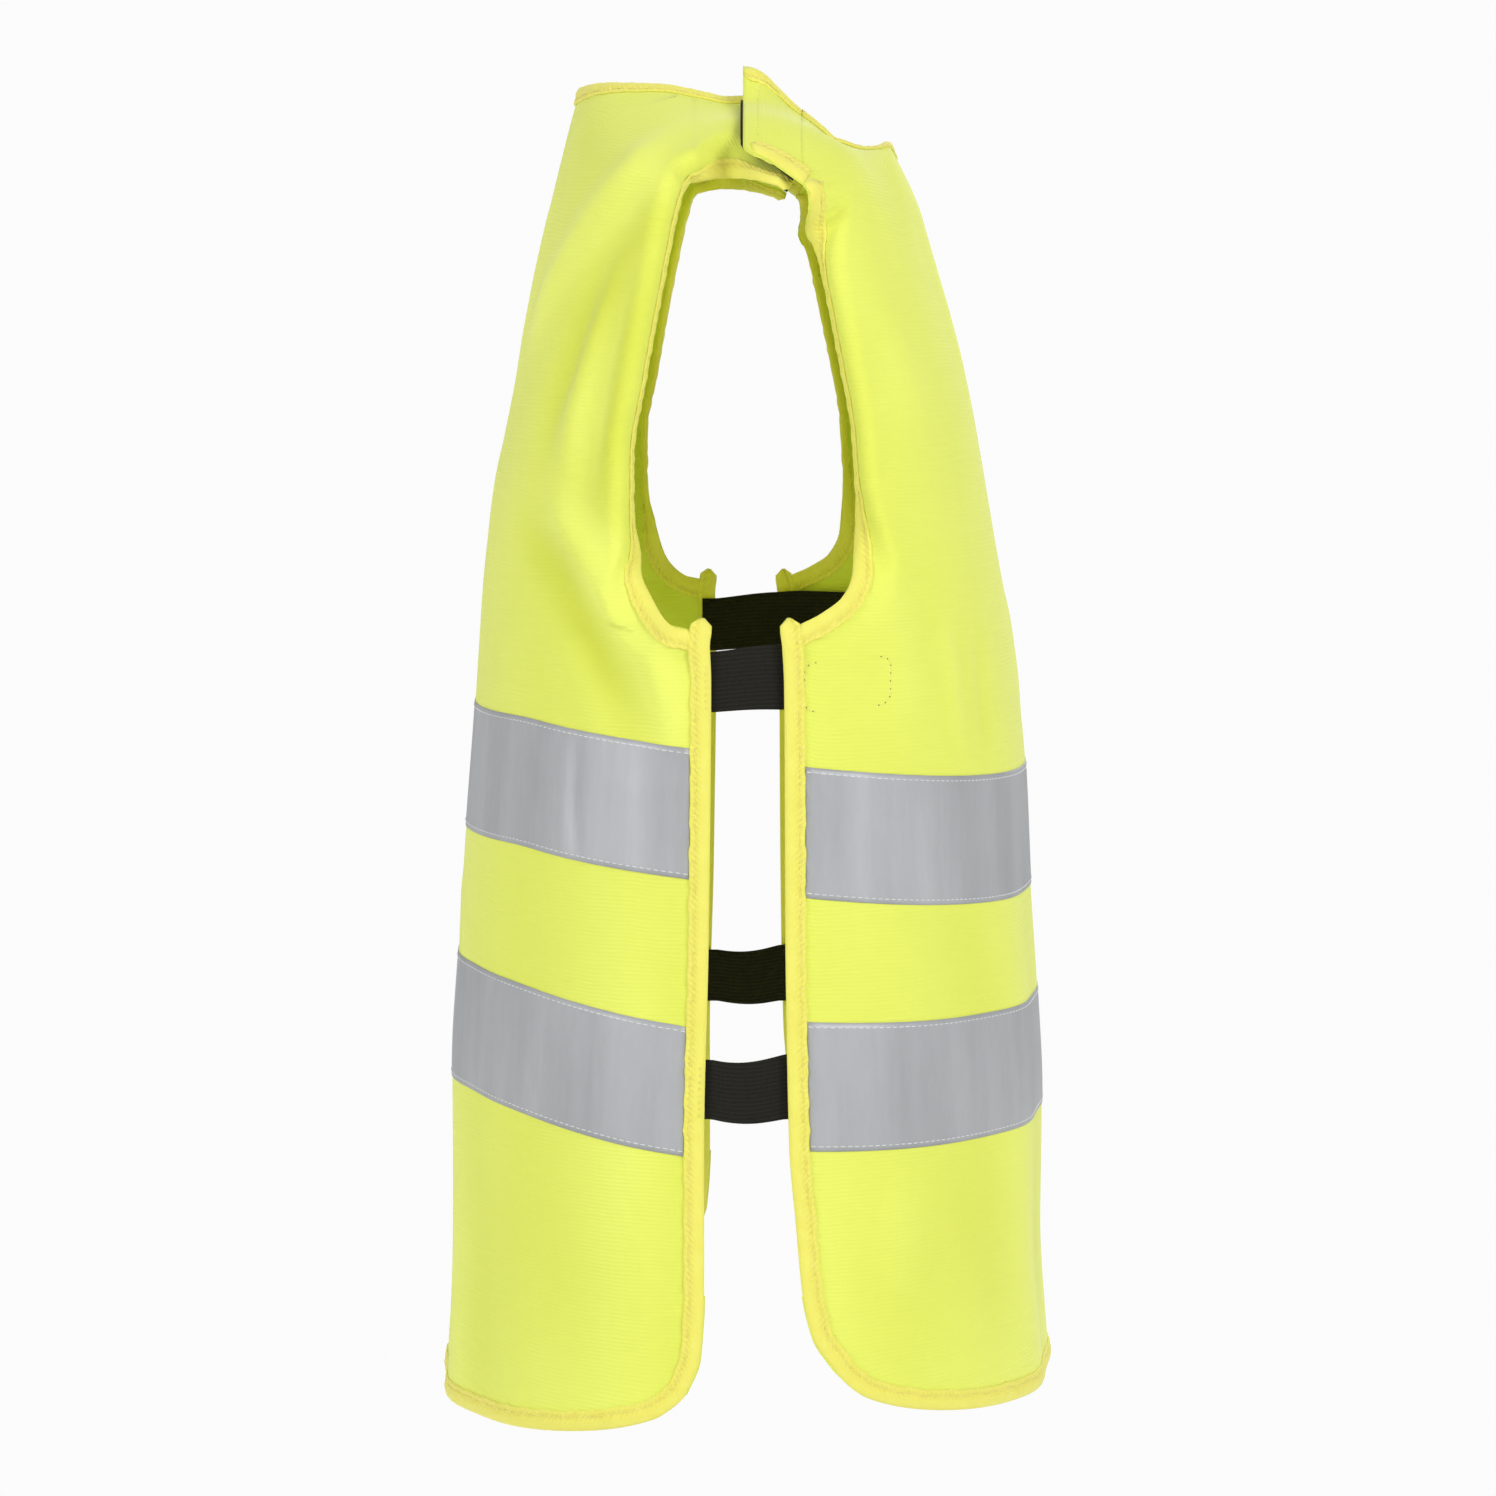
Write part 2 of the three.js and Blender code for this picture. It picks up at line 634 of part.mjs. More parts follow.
/** A rounded rectangle of cloth points on the flank: its ends narrow by the corner's radius. */
function roundedRows(fromY, toY, middleZ, width, lift) {
  const corner = 4;
  const insets = [0, 0.3, 1];
  const ys = [
    ...insets.map((t) => fromY + corner * t),
    ...evenSteps(fromY + corner, toY - corner, 4).slice(1, -1),
    ...insets.map((t) => toY - corner * t).reverse(),
  ];
  return ys.map((y) => {
    const near = Math.min(Math.abs(y - fromY), Math.abs(toY - y)) / corner;
    const cut = near < 1 ? corner * (1 - Math.sqrt(1 - (1 - near) ** 2)) : 0;
    const half = width / 2 - cut;
    return flankRows([y], [middleZ - half, middleZ, middleZ + half], lift)[0];
  });
}

Object.entries(STRAPS).forEach(([which, strap]) => {
  const backEnd = BACK.sideY(strap.z) - FOLD_OUT - 1;
  const patchFromY = -(FRONT.sideY(strap.z) + BINDING_LEAF + CLEAR_OF_LEAF);
  const hiddenEnd = patchFromY - PATCH_LENGTH - 1;
  const lift = (y) => mix(STRAP_UNDER, -0.3, ease((y + 10) / (backEnd + 10)));
  addPair(`elastic_strap_SIDE_${which}`, (side) => {
    const ys = evenSteps(hiddenEnd, backEnd, 12);
    const half = ELASTIC_WIDTH / 2;
    const rows = flankRows(ys, [strap.z - half, strap.z, strap.z + half], lift);
    return sheet(rows.map(flipRow(side)), -ELASTIC / 2, ELASTIC / 2);
  }, BLACK);

  addPair(`strap_loop_patch_SIDE_${which}`, (side) => {
    const rows = roundedRows(patchFromY - PATCH_LENGTH, patchFromY, strap.patchZ, PATCH_WIDTH, () => 0);
    return sheet(rows.map(flipRow(side)), PATCH_TOP - FASTENER, PATCH_TOP);
  }, BLACK);

  addPair(`strap_hook_tab_SIDE_${which}`, (side) => {
    const height = (strap.z + strap.patchZ) / 2;
    const rows = roundedRows(hiddenEnd + 1, hiddenEnd + 1 + HOOK_LENGTH, height, HOOK_WIDTH, () => 0);
    return sheet(rows.map(flipRow(side)), HOOK_UNDER - HOOK_TAB, HOOK_UNDER);
  }, BLACK);
});

export default vest;
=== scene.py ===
"""The looks of a child-size pull-over high visibility vest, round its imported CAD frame.

Lengths are in millimetres until a mesh is made. +Z up, the wearer faces -Y, the wearer's right is -X.
"""
import math

import bpy
import numpy as np
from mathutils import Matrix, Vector


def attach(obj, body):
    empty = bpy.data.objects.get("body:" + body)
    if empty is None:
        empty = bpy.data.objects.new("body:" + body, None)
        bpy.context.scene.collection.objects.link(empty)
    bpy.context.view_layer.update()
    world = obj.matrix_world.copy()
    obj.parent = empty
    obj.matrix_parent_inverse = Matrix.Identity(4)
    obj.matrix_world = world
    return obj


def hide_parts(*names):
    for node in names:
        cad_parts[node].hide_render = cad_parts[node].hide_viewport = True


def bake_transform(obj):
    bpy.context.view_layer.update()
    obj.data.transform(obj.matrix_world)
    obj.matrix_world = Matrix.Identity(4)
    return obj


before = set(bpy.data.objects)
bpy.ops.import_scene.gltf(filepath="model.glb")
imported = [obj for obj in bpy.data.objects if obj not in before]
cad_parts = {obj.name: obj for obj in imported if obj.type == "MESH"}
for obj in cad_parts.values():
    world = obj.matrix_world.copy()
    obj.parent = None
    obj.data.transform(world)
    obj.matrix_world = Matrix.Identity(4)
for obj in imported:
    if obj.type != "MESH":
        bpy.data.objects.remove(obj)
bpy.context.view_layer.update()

TO_ORIGIN = np.array([0.0, -1.1, 1.97])  # from the body's frame to the part's
SIDES = {"left": 1, "right": -1}
MIRROR = np.array([-1, 1, 1])

# ---- sizes ----
TAPE_WIDTH = 50
TAPE_LOW, TAPE_HIGH = 0.36, 0.64  # the tape's two faces, over the cloth's middle
TAPE_SEAM_IN = 1.9
CLOTH = 0.3  # half the thickness of the knitted cloth
LEAF = 6.3  # width of each folded side of the binding
SEAM_IN = LEAF - 2.1  # the binding's seam, from its fold
EDGE_IN = 2.0  # the binding's fold lies this far inside the panel's outline
UNDER_LEAF = 11  # width of the strip of cloth that the binding's columns take
ROUNDNESS = 2.2  # 2 would make the body's level sections ellipses
STEP = 2.5  # spacing of the cloth's mesh

# The shoulder, from the back: the back panel's last row, the flap's free edge, the tab's end, the fold.
SHOULDER_BACK_Y, FLAP_EDGE_Y, TAB_END_Y, FOLD_Y = 22, 2, -15.5, -19
SHOULDER_END_X = 137
NECK_HALF_WIDTH = 62
FLAP_LIFT = 4.0
FLAP_TAPER = 7  # how much narrower the flap is at its free edge than at its fold
ARMHOLE_FOOT_Z = 318

# Columns of the cloth, numbered from the centre line out.
NECK, LEAF_EDGE, OUTLINE = 7, 12, 13
TOP_PART = 0.7  # how far up the armhole's top stretch the cloth's last strip begins


# ---- curves ----
def smooth(knots):
    """A smooth curve through (at, value) pairs that never overshoots them."""
    at, value = np.array(knots, float).T
    gap = np.diff(at)
    rise = np.diff(value) / gap
    slope = np.zeros(len(at))
    slope[0], slope[-1] = rise[0], rise[-1]
    for i in range(1, len(at) - 1):
        before, after = rise[i - 1], rise[i]
        if before * after > 0:
            slope[i] = 2 * before * after / (before + after)

    def curve(x):
        x = np.asarray(x, float)
        i = np.clip(np.searchsorted(at, x, side="right") - 1, 0, len(at) - 2)
        h = gap[i]
        t = (x - at[i]) / h
        a = 2 * t**3 - 3 * t**2 + 1
        b = t**3 - 2 * t**2 + t
        c = 3 * t**2 - 2 * t**3
        d = t**3 - t**2
        inside = a * value[i] + b * h * slope[i] + c * value[i + 1] + d * h * slope[i + 1]
        low = value[0] + slope[0] * (x - at[0])
        high = value[-1] + slope[-1] * (x - at[-1])
        return np.where(x <= at[0], low, np.where(x >= at[-1], high, inside))

    return curve


def ease(t):
    t = np.clip(t, 0, 1)
    return t * t * (3 - 2 * t)


def mix(a, b, t):
    return a + (b - a) * t


def unit(v):
    return v / np.maximum(np.linalg.norm(v, axis=-1, keepdims=True), 1e-9)


def run_of(points):
    """Distance along a run of points to each of them."""
    return np.concatenate([[0], np.cumsum(np.linalg.norm(np.diff(points, axis=0), axis=1))])


def on_run(points, run, at):
    """The places, or directions, at distances along a run of points."""
    return np.stack([np.interp(at, run, points[:, k]) for k in range(3)], 1)


def resampled(points, step=STEP):
    """The run of points again, at even steps, and the distance along it to each."""
    run = run_of(points)
    at = np.linspace(0, run[-1], max(int(run[-1] / step), 2) + 1)
    return on_run(points, run, at), at


def softened(values, reach):
    """Values along an evenly stepped run, each averaged with its neighbours."""
    weight = np.exp(-0.5 * (np.arange(-3 * reach, 3 * reach + 1) / reach) ** 2)
    ends = np.concatenate([np.repeat(values[:1], 3 * reach, 0), values,
                           np.repeat(values[-1:], 3 * reach, 0)])
    return np.stack([np.convolve(ends[:, k], weight / weight.sum(), "valid")
                     for k in range(values.shape[1])], 1)


def through(points, at):
    """A smooth curve through numbered points."""
    last = len(points) - 1
    at = np.clip(np.asarray(at, float), 0, last)
    i = np.minimum(at.astype(int), last - 1)
    t = (at - i)[:, None]
    p0, p1, p2, p3 = points[np.maximum(i - 1, 0)], points[i], points[i + 1], points[np.minimum(i + 2, last)]
    return 0.5 * (2 * p1 + (p2 - p0) * t + (2 * p0 - 5 * p1 + 4 * p2 - p3) * t**2
                  + (3 * p1 - p0 - 3 * p2 + p3) * t**3)


def whole(half):
    """Both halves of each row, from the wearer's right to the left."""
    return np.concatenate([half[:, :0:-1] * MIRROR, half], 1)


def ripple(s, seed, length):
    """Uneven gentle waves along s, about one unit high."""
    rng = np.random.default_rng(seed)
    total = np.zeros_like(np.asarray(s, float))
    for k in range(5):
        wave = length * (0.6 + 0.35 * k + 0.2 * rng.random())
        total += np.sin(2 * np.pi * s / wave + 6.3 * rng.random()) / 2.2
    return total


# ---- the body the vest hangs on ----
half_width = smooth([
    (0, 153.5), (70, 151.5), (150, 150), (300, 149), (420, 149.5), (450, 149.5),
    (468, 148.5), (480, 146.5), (490, 142.5), (498, 133), (506, 115.5), (529, 62), (545, 26)])
front_depth = smooth([
    (0, 121.5), (30, 120.5), (70, 119.5), (122, 120), (163, 118), (206, 115), (253, 113),
    (296, 108), (345, 100), (406, 89), (439, 80), (471, 70), (492, 64.5), (502, 60.5),
    (510, 50), (518, 39.5), (528, 31), (545, 22)])
back_depth = smooth([
    (0, 123.5), (55, 121.6), (133, 121), (198, 117), (247, 113.5), (304, 109), (337, 106.5),
    (373, 101), (414, 93), (455, 85), (488, 77), (526, 67), (545, 58)])


def level(p):
    """Below 0 inside the body, 0 on it."""
    x, y, z = np.abs(p[..., 0]), p[..., 1], p[..., 2]
    depth = np.where(y < 0, front_depth(z), back_depth(z))
    return (x / half_width(z)) ** ROUNDNESS + (np.abs(y) / depth) ** ROUNDNESS - 1


def slope_at(p):
    """The direction in which level rises fastest, as long as it is steep."""
    h = 0.05
    return np.stack([(level(p + step) - level(p - step)) / (2 * h) for step in h * np.eye(3)], -1)


def outward(p):
    return unit(slope_at(p))


def onto_body(p):
    """The body point near each point."""
    p = np.array(p, float)
    for _ in range(8):
        g = slope_at(p)
        p = p - g * (level(p) / np.maximum((g * g).sum(-1), 1e-12))[..., None]
    return p


def on_shoulder(x, y):
    """The body point over each place in plan."""
    x, y = np.broadcast_arrays(np.asarray(x, float), np.asarray(y, float))
    low = np.full(x.shape, 440.0)
    high = np.full(x.shape, 544.0)
    for _ in range(34):
        middle = (low + high) / 2
        inside = level(np.stack([x, y, middle], -1)) < 0
        low = np.where(inside, middle, low)
        high = np.where(inside, high, middle)
    return np.stack([x, y, low], -1)


def neck_x(y):
    """Half the neck opening's width at y."""
    y = np.asarray(y, float)
    reach = np.where(y < 0, 61.0, 67.0)
    power = np.where(y < 0, 2.6, 2.4)
    return NECK_HALF_WIDTH * np.maximum(1 - (np.abs(y) / reach) ** power, 0) ** (1 / power)


class Panel:
    """Body points of the front or the back panel, in rows from the hem up and columns out."""

    def __init__(self, toward, depth, side_y, corner_z, hem_z, dip, rows, tapes, top_y, top_z,
                 end_y, reach, lift):
        self.toward, self.depth, self.side_y = toward, depth, smooth(side_y)
        self.corner_z, self.hem_z, self.dip = corner_z, hem_z, dip
        self.first_z, self.last_z = rows
        self.tapes = tapes
        self.top_y, self.top_z = smooth(top_y), smooth(top_z)
        self.end_y, self.reach, self.lift = end_y, reach, lift

    def around(self, angle, z):
        """Body points by angle from straight ahead and by height."""
        s, c = np.sin(angle), np.cos(angle)
        across = (np.abs(s) / half_width(z)) ** ROUNDNESS
        ahead = (np.abs(c) / self.depth(z)) ** ROUNDNESS
        r = (across + ahead) ** (-1 / ROUNDNESS)
        return np.stack([r * s, self.toward * r * c, z + 0 * r], -1)

    def side_point(self, y, z):
        """Body points on the left flank by distance from the side seam's plane and by height."""
        y, z = np.broadcast_arrays(np.asarray(y, float), np.asarray(z, float))
        inner = np.maximum(1 - (np.abs(y) / self.depth(z)) ** ROUNDNESS, 0)
        x = half_width(z) * inner ** (1 / ROUNDNESS)
        return np.stack([x, self.toward * y, z], -1)

    def angles(self, z, columns):
        """Angles of the columns in the rows at heights z: even steps of cloth, the last under the binding."""
        y = self.side_y(z)
        x = self.side_point(y, z)[..., 0]
        end = np.arctan2(x, y)
        share = np.linspace(0, 1, 241)
        angle = end[:, None] * share
        run = self.around(angle, z[:, None] + 0 * angle)
        length = np.linalg.norm(np.diff(run, axis=1), axis=-1)
        length = np.concatenate([np.zeros((len(z), 1)), np.cumsum(length, 1)], 1)
        total = length[:, -1]
        found = []
        for r in range(len(z)):
            inner = (total[r] - UNDER_LEAF) * np.minimum(columns, LEAF_EDGE) / LEAF_EDGE
            wanted = inner + UNDER_LEAF * np.clip(columns - LEAF_EDGE, 0, 1)
            found.append(np.interp(wanted, length[r], angle[r]))
        return np.array(found)

    def rows_at(self, z, columns, rise=0.0):
        """Rows of body points, sagging at the centre by the panel's dip."""
        z = np.asarray(z, float)
        out = columns / OUTLINE
        drop = self.dip(z)[:, None] * (1 - out**2)
        return self.around(self.angles(z, columns), z[:, None] - drop + rise)

    def hem_row(self, columns):
        angle = self.angles(np.array([float(self.corner_z)]), columns)[0]
        out = columns / OUTLINE
        climb = 0.6 * out**2.5 + 0.4 * out**12
        return self.around(angle, mix(self.hem_z, self.corner_z, climb))

    def top_row(self, columns):
        end_angle = math.asin(min(float(neck_x(self.end_y)) / NECK_HALF_WIDTH, 1))
        part = np.clip(columns / NECK, 0, 1)
        round_neck = self.toward * self.reach * np.cos(end_angle * part) ** 0.85
        y = mix(round_neck, self.end_y, part**3)
        x = np.where(columns < NECK, neck_x(y), shoulder_x(columns, self.end_y))
        return on_shoulder(x, y)

    def inset_row(self, columns):
        """The row next to the top one, a binding's width in from the neckline."""
        k = np.arange(OUTLINE + 1.0)
        top = self.top_row(k)
        before = np.concatenate([[top[1] * MIRROR], top[:-2]])
        away = unit(np.cross(top[1:] - before, outward(top[:-1])))
        away = np.where(away[:, 2:] > 0, -away, away)
        row = np.array(top)
        row[:NECK] = onto_body(top[:NECK] + UNDER_LEAF * away[:NECK])
        shift = np.where(k == NECK, UNDER_LEAF, mix(UNDER_LEAF * 0.5, 0, (k - NECK) / NECK))
        y = top[:, 1] + self.toward * UNDER_LEAF * 0.8
        row[NECK:OUTLINE] = on_shoulder((top[:, 0] + shift)[NECK:OUTLINE], y[NECK:OUTLINE])
        row[OUTLINE] = onto_body(self.side_point(self.top_y(TOP_PART), self.top_z(TOP_PART)))
        return through(whole(row[None])[0], OUTLINE + columns)

    def between(self, low, high, shares, edge, columns):
        """Rows between two rows, bent so that their ends follow the panel's edge."""
        t = np.asarray(shares)[:, None, None]
        straight = low + (high - low) * t
        bend = edge(np.asarray(shares)) - straight[:, -1]
        return onto_body(straight + bend[:, None, :] * ((columns / OUTLINE) ** 4)[None, :, None])

    def half_rows(self, columns):
        """All the rows of the left half, from the hem to the neck and the shoulder."""
        hem = self.hem_row(columns)
        count = int((self.last_z - self.first_z) / STEP)
        z = np.linspace(self.first_z, self.last_z, count + 1)
        angles = self.angles(z, columns)
        even = mix(softened(angles, 7), angles, ease((columns - 3) / 9))
        drop = self.dip(z)[:, None] * (1 - (columns / OUTLINE) ** 2)
        main = self.around(even, z[:, None] - drop)
        top = self.top_row(columns)
        inset = self.inset_row(columns)

        def low_edge(t):
            z = mix(self.corner_z, self.first_z, t)
            return self.side_point(self.side_y(z), z)

        def high_edge(t):
            t = TOP_PART * t
            return onto_body(self.side_point(self.top_y(t), self.top_z(t)))

        def last_edge(t):
            t = TOP_PART + (1 - TOP_PART) * t
            return onto_body(self.side_point(self.top_y(t), self.top_z(t)))

        shares = np.linspace(0.04, 1, 24)[:-1]
        lower = self.between(hem, main[0], shares, low_edge, columns)
        upper = self.between(main[-1], inset, np.linspace(0, 1, 22)[1:], high_edge, columns)
        trimmed = mix(inset, top, mix(0.78, 1, ease((columns - 6.1) / 1.1))[:, None])
        last = self.between(inset, trimmed, np.linspace(0, 1, 6)[1:], last_edge, columns)
        return np.concatenate([lower, main, upper, last])


def shoulder_x(columns, y):
    """How far out the columns past the neck lie, on the shoulder."""
    neck = neck_x(y)
    inner = neck + UNDER_LEAF * np.clip(columns - NECK, 0, 1)
    part = np.clip((columns - NECK - 1) / (LEAF_EDGE - NECK - 1), 0, 1)
    middle = mix(neck + UNDER_LEAF, SHOULDER_END_X - UNDER_LEAF, part)
    outer = SHOULDER_END_X - UNDER_LEAF + UNDER_LEAF * np.clip(columns - LEAF_EDGE, 0, 1)
    return np.where(columns < NECK + 1, inner, np.where(columns < LEAF_EDGE, middle, outer))


def front_lift(p):
    """How far the front panel stands off the body where its top lies over the tab."""
    return FLAP_LIFT * ease((p[..., 1] + 44) / 24) * ease((p[..., 2] - 452) / 34)


FRONT = Panel(
    -1, front_depth,
    [(34, 33), (48, 24), (66, 20), (93, 17.5), (123, 15), (200, 13.6), (300, 13), (316, 12.2),
     (321, 17), (326, 27), (333, 36.5), (345, 42), (366, 43.5), (390, 42.5), (432, 35), (470, 27)],
    34, 6, smooth([(34, 0), (66, 5), (146, 8), (243, 12), (330, 9), (400, 6), (470, 0)]),
    (66, 470), {"upper": 218, "lower": 121.5},
    [(0, 27), (0.45, 23), (1, 19)], [(0, 470), (0.45, 481), (1, 492.5)], FOLD_Y, 61, front_lift)
BACK = Panel(
    1, back_depth,
    [(25, 24), (40, 18), (66, 16.5), (120, 16.5), (200, 14.6), (300, 13.5), (318.5, 14.5),
     (321.5, 26.5), (326, 32), (334, 37.5), (346, 42), (364, 46), (386, 46), (410, 42),
     (436, 37.5), (475, 30)],
    25, 0, lambda z: 0 * np.asarray(z, float), (66, 475), {"upper": 225, "lower": 124},
    [(0, 30), (0.6, 26), (1, 22)], [(0, 475), (0.6, 487), (1, 492.5)], SHOULDER_BACK_Y, 67,
    lambda p: 0 * p[..., 0])


# ---- folds of the cloth ----
# A fold's line, its height over the body (negative is a hollow) and its width. On the flanks a line
# is given by distance from the side seam's plane and by height, and on the face of a panel, with
# side 0, by distance across and by height.
FOLD_TABLE = [
    (BACK, -1, [
        (3.6, 10, [(24, 511), (45, 490), (70, 458), (88, 420)]),
        (-3.4, 9, [(28, 502), (46, 472), (62, 440), (74, 405), (80, 372)]),
        (2.6, 8, [(34, 488), (50, 456), (60, 425), (68, 392), (72, 360)]),
        (-3.6, 7, [(40, 476), (50, 446), (57, 414), (62, 378), (62, 352)]),
        (4.4, 7, [(78, 374), (62, 347), (46, 325), (35, 307), (30, 288), (28, 264)]),
        (-3.0, 8, [(90, 366), (74, 338), (60, 314), (49, 292), (44, 268)]),
        (-1.5, 3, [(66, 228), (67, 255), (65, 284)]),
        (1.0, 12, [(98, 470), (96, 430), (100, 380), (98, 330)]),
        (0.9, 12, [(45, 200), (42, 150), (46, 90)]),
    ]),
    (BACK, 1, [
        (2.0, 11, [(25, 508), (48, 486), (68, 450), (84, 416)]),
        (-1.8, 9, [(31, 494), (46, 465), (58, 425), (62, 390)]),
        (2.4, 9, [(70, 362), (56, 336), (44, 312), (38, 285)]),
        (-2.0, 6, [(54, 344), (42, 322), (30, 300)]),
        (-0.9, 3, [(80, 230), (78, 252), (81, 274)]),
    ]),
    (FRONT, -1, [
        (1.2, 6, [(72, 330), (78, 300), (81, 268)]),
        (-0.9, 6, [(88, 322), (91, 292), (92, 262)]),
        (1.0, 9, [(52, 344), (58, 312), (64, 276)]),
        (1.0, 10, [(34, 486), (46, 452), (62, 414), (70, 380)]),
        (-0.9, 7, [(43, 436), (52, 398), (54, 360)]),
        (1.0, 10, [(60, 112), (58, 80), (61, 50)]),
    ]),
    (FRONT, 1, [
        (1.3, 7, [(66, 334), (74, 304), (76, 270)]),
        (1.1, 10, [(36, 484), (50, 448), (64, 405)]),
        (-0.9, 7, [(46, 430), (53, 395), (53, 360)]),
    ]),
    (BACK, 0, [
        (1.3, 12, [(-52, 500), (-36, 450), (-30, 400)]),
        (1.2, 13, [(58, 498), (40, 446), (38, 390)]),
        (-1.0, 16, [(6, 470), (2, 420), (8, 360)]),
        (0.8, 9, [(-20, 216), (-14, 190), (-22, 176)]),
    ]),
    (FRONT, 0, [
        (1.1, 11, [(-48, 480), (-36, 440), (-40, 395)]),
        (1.2, 12, [(50, 478), (44, 436), (36, 390)]),
        (0.9, 9, [(-12, 330), (-18, 300), (-12, 274)]),
        (0.8, 8, [(30, 210), (36, 190), (30, 174)]),
    ]),
]


def fold_line(panel, side, points):
    """The body points of a fold's line."""
    if side:
        return np.array([panel.side_point(y, z) for y, z in points]) * [side, 1, 1]
    line = []
    for x, z in points:
        inner = max(1 - (abs(x) / float(half_width(z))) ** ROUNDNESS, 0)
        line.append([x, panel.toward * float(panel.depth(z)) * inner ** (1 / ROUNDNESS), z])
    return np.array(line)


FOLDS = [(fold_line(panel, side, points), size, width)
         for panel, side, folds in FOLD_TABLE for size, width, points in folds]


FOLD_REACH = 130  # no fold is felt this far from its middle


def near_line(p, line):
    """Distance from each point to a line, and how far along the line its nearest place is."""
    lengths = np.linalg.norm(np.diff(line, axis=0), axis=1)
    total = lengths.sum()
    best = np.full(len(p), 1e9)
    along = np.zeros(len(p))
    start = 0.0
    for a, b, length in zip(line[:-1], line[1:], lengths):
        d = (b - a) / length
        t = np.clip((p - a) @ d, 0, length)
        gap = np.linalg.norm(p - a - t[:, None] * d, axis=1)
        nearer = gap < best
        best = np.where(nearer, gap, best)
        along = np.where(nearer, (start + t) / total, along)
        start += length
    return best, along


def fold(p):
    """How far the cloth stands out from the smooth body at each body point."""
    shape = p.shape[:-1]
    p = p.reshape(-1, 3)
    height = np.zeros(len(p))
    for line, size, width in FOLDS:
        close = np.linalg.norm(p - line.mean(0), axis=1) < FOLD_REACH
        if not close.any():
            continue
        gap, along = near_line(p[close], line)
        taper = ease(along / 0.3) * ease((1 - along) / 0.35)
        height[close] += size * np.exp(-((gap / width) ** 2)) * (0.15 + 0.85 * taper)
    x, y, z = p.T
    turn = np.arctan2(x, -y)
    waves = np.sin(9 * turn + 0.8) + 0.6 * np.sin(14 * turn + 2 + z / 90)
    dimples = np.sin(x / 13 + z / 37 + 1) * np.sin(y / 17 - z / 29)
    flare = np.where(y < 0, 2.2, 1.2) * ease((np.abs(y) - 30) / 50)
    height += 0.9 * ease((330 - z) / 250) * waves
    height += 0.28 * dimples
    height += ease((66 - z) / 66) * flare
    calm = ease((np.hypot(x, y) - 55) / 30) * 0.6 + 0.4
    return (height * calm).reshape(shape)


# How far the neckline sinks at each y, from the front back.
settling = smooth([
    (-84, 0), (-75, 2), (-68, 4.8), (-62, 6), (-60, 3.8), (-57.3, 0), (-52, -4), (-46, -7),
    (-40, -9.4), (-30, -13), (-20, -11.5), (-11, -8), (-4, -6.5), (8, -6.5), (19, -4), (32, -1),
    (45, 0.5), (66, 3), (80, 3)])
SHOULDER_DROOP, TAB_DROOP = 7, 2  # how far the shoulder's outer end sinks, and the tab below it


def settle(p):
    """How far each place rises, less than 0 where it sinks, and its share of the shoulder's droop."""
    ring = np.hypot(p[..., 0] / NECK_HALF_WIDTH, p[..., 1] / 64)
    near = ease((1.95 - ring) / 0.9) * ease((p[..., 2] - 430) / 45)
    droop = ease((np.abs(p[..., 0]) - 98) / 38) * ease((14 - p[..., 1]) / 26)
    droop = droop * ease((p[..., 1] + 48) / 24) * ease((p[..., 2] - 452) / 30)
    return settling(p[..., 1]) * near - SHOULDER_DROOP * droop, droop


# The armhole edges roll inward, until their last stretch lies edge-on to the side.
ROLLED = 18.5  # width of the cloth that rolls
ROLL_RADIUS = 4.5
ROLL_PULL = 44  # the cloth this far beyond it is drawn along
ROLL_REACH = 64

TAB_ROWS_Y = np.linspace(SHOULDER_BACK_Y, TAB_END_Y, 17)[1:]


def armhole_edge(panel, low_count, high_count):
    """The left armhole's outline, from the side edge up and over the shoulder."""
    z = np.concatenate([np.linspace(ARMHOLE_FOOT_Z, 346, low_count),
                        np.linspace(347, panel.last_z, high_count)])
    t = np.linspace(0, 1, 16)[1:]
    edge = np.concatenate([panel.side_point(panel.side_y(z), z),
                           onto_body(panel.side_point(panel.top_y(t), panel.top_z(t)))])
    if panel is BACK:
        tab_edge = on_shoulder(SHOULDER_END_X + 0 * TAB_ROWS_Y, TAB_ROWS_Y)
        edge = np.concatenate([edge, tab_edge])
    return edge


def armhole_line(panel):
    """The left armhole's edge: places, inward directions, roll angles, how far in the crest lies."""
    line = resampled(armhole_edge(panel, 50, 60), 1.0)[0]
    line = onto_body(softened(line, 2))
    n = outward(line)
    along = unit(softened(np.gradient(line, axis=0), 5))
    inward = unit(np.cross(along, n))
    toward = np.stack([-0.4 * line[:, 0], 0 * line[:, 1] + panel.toward * 30, 0 * line[:, 2]], 1)
    inward = np.where((inward * toward).sum(-1, keepdims=True) < 0, -inward, inward)
    seen = unit(inward * [0, 1, 1])
    across, deep = (inward * seen).sum(-1), (n * seen).sum(-1)
    full = np.arctan2(across, -deep)
    if panel is BACK:
        share = ease((line[:, 2] - ARMHOLE_FOOT_Z) / 44) * ease((line[:, 1] - 1) / 15)
    else:
        share = ease((line[:, 2] - ARMHOLE_FOOT_Z - 1) / 58) * ease((-19.2 - line[:, 1]) / 11)
    turn = softened((full * share)[:, None], 7)[:, 0]
    if panel is FRONT:
        turn = turn * ease((FOLD_Y - line[:, 1]) / 5)
    r = ROLL_RADIUS
    rest = ROLLED - r * turn
    back = r * np.sin(turn) + rest * np.cos(turn)
    down = r * (1 - np.cos(turn)) + rest * np.sin(turn)
    crest = back + down * deep / across
    return line, inward, turn, crest


ARMHOLES = {id(panel): armhole_line(panel) for panel in (FRONT, BACK)}


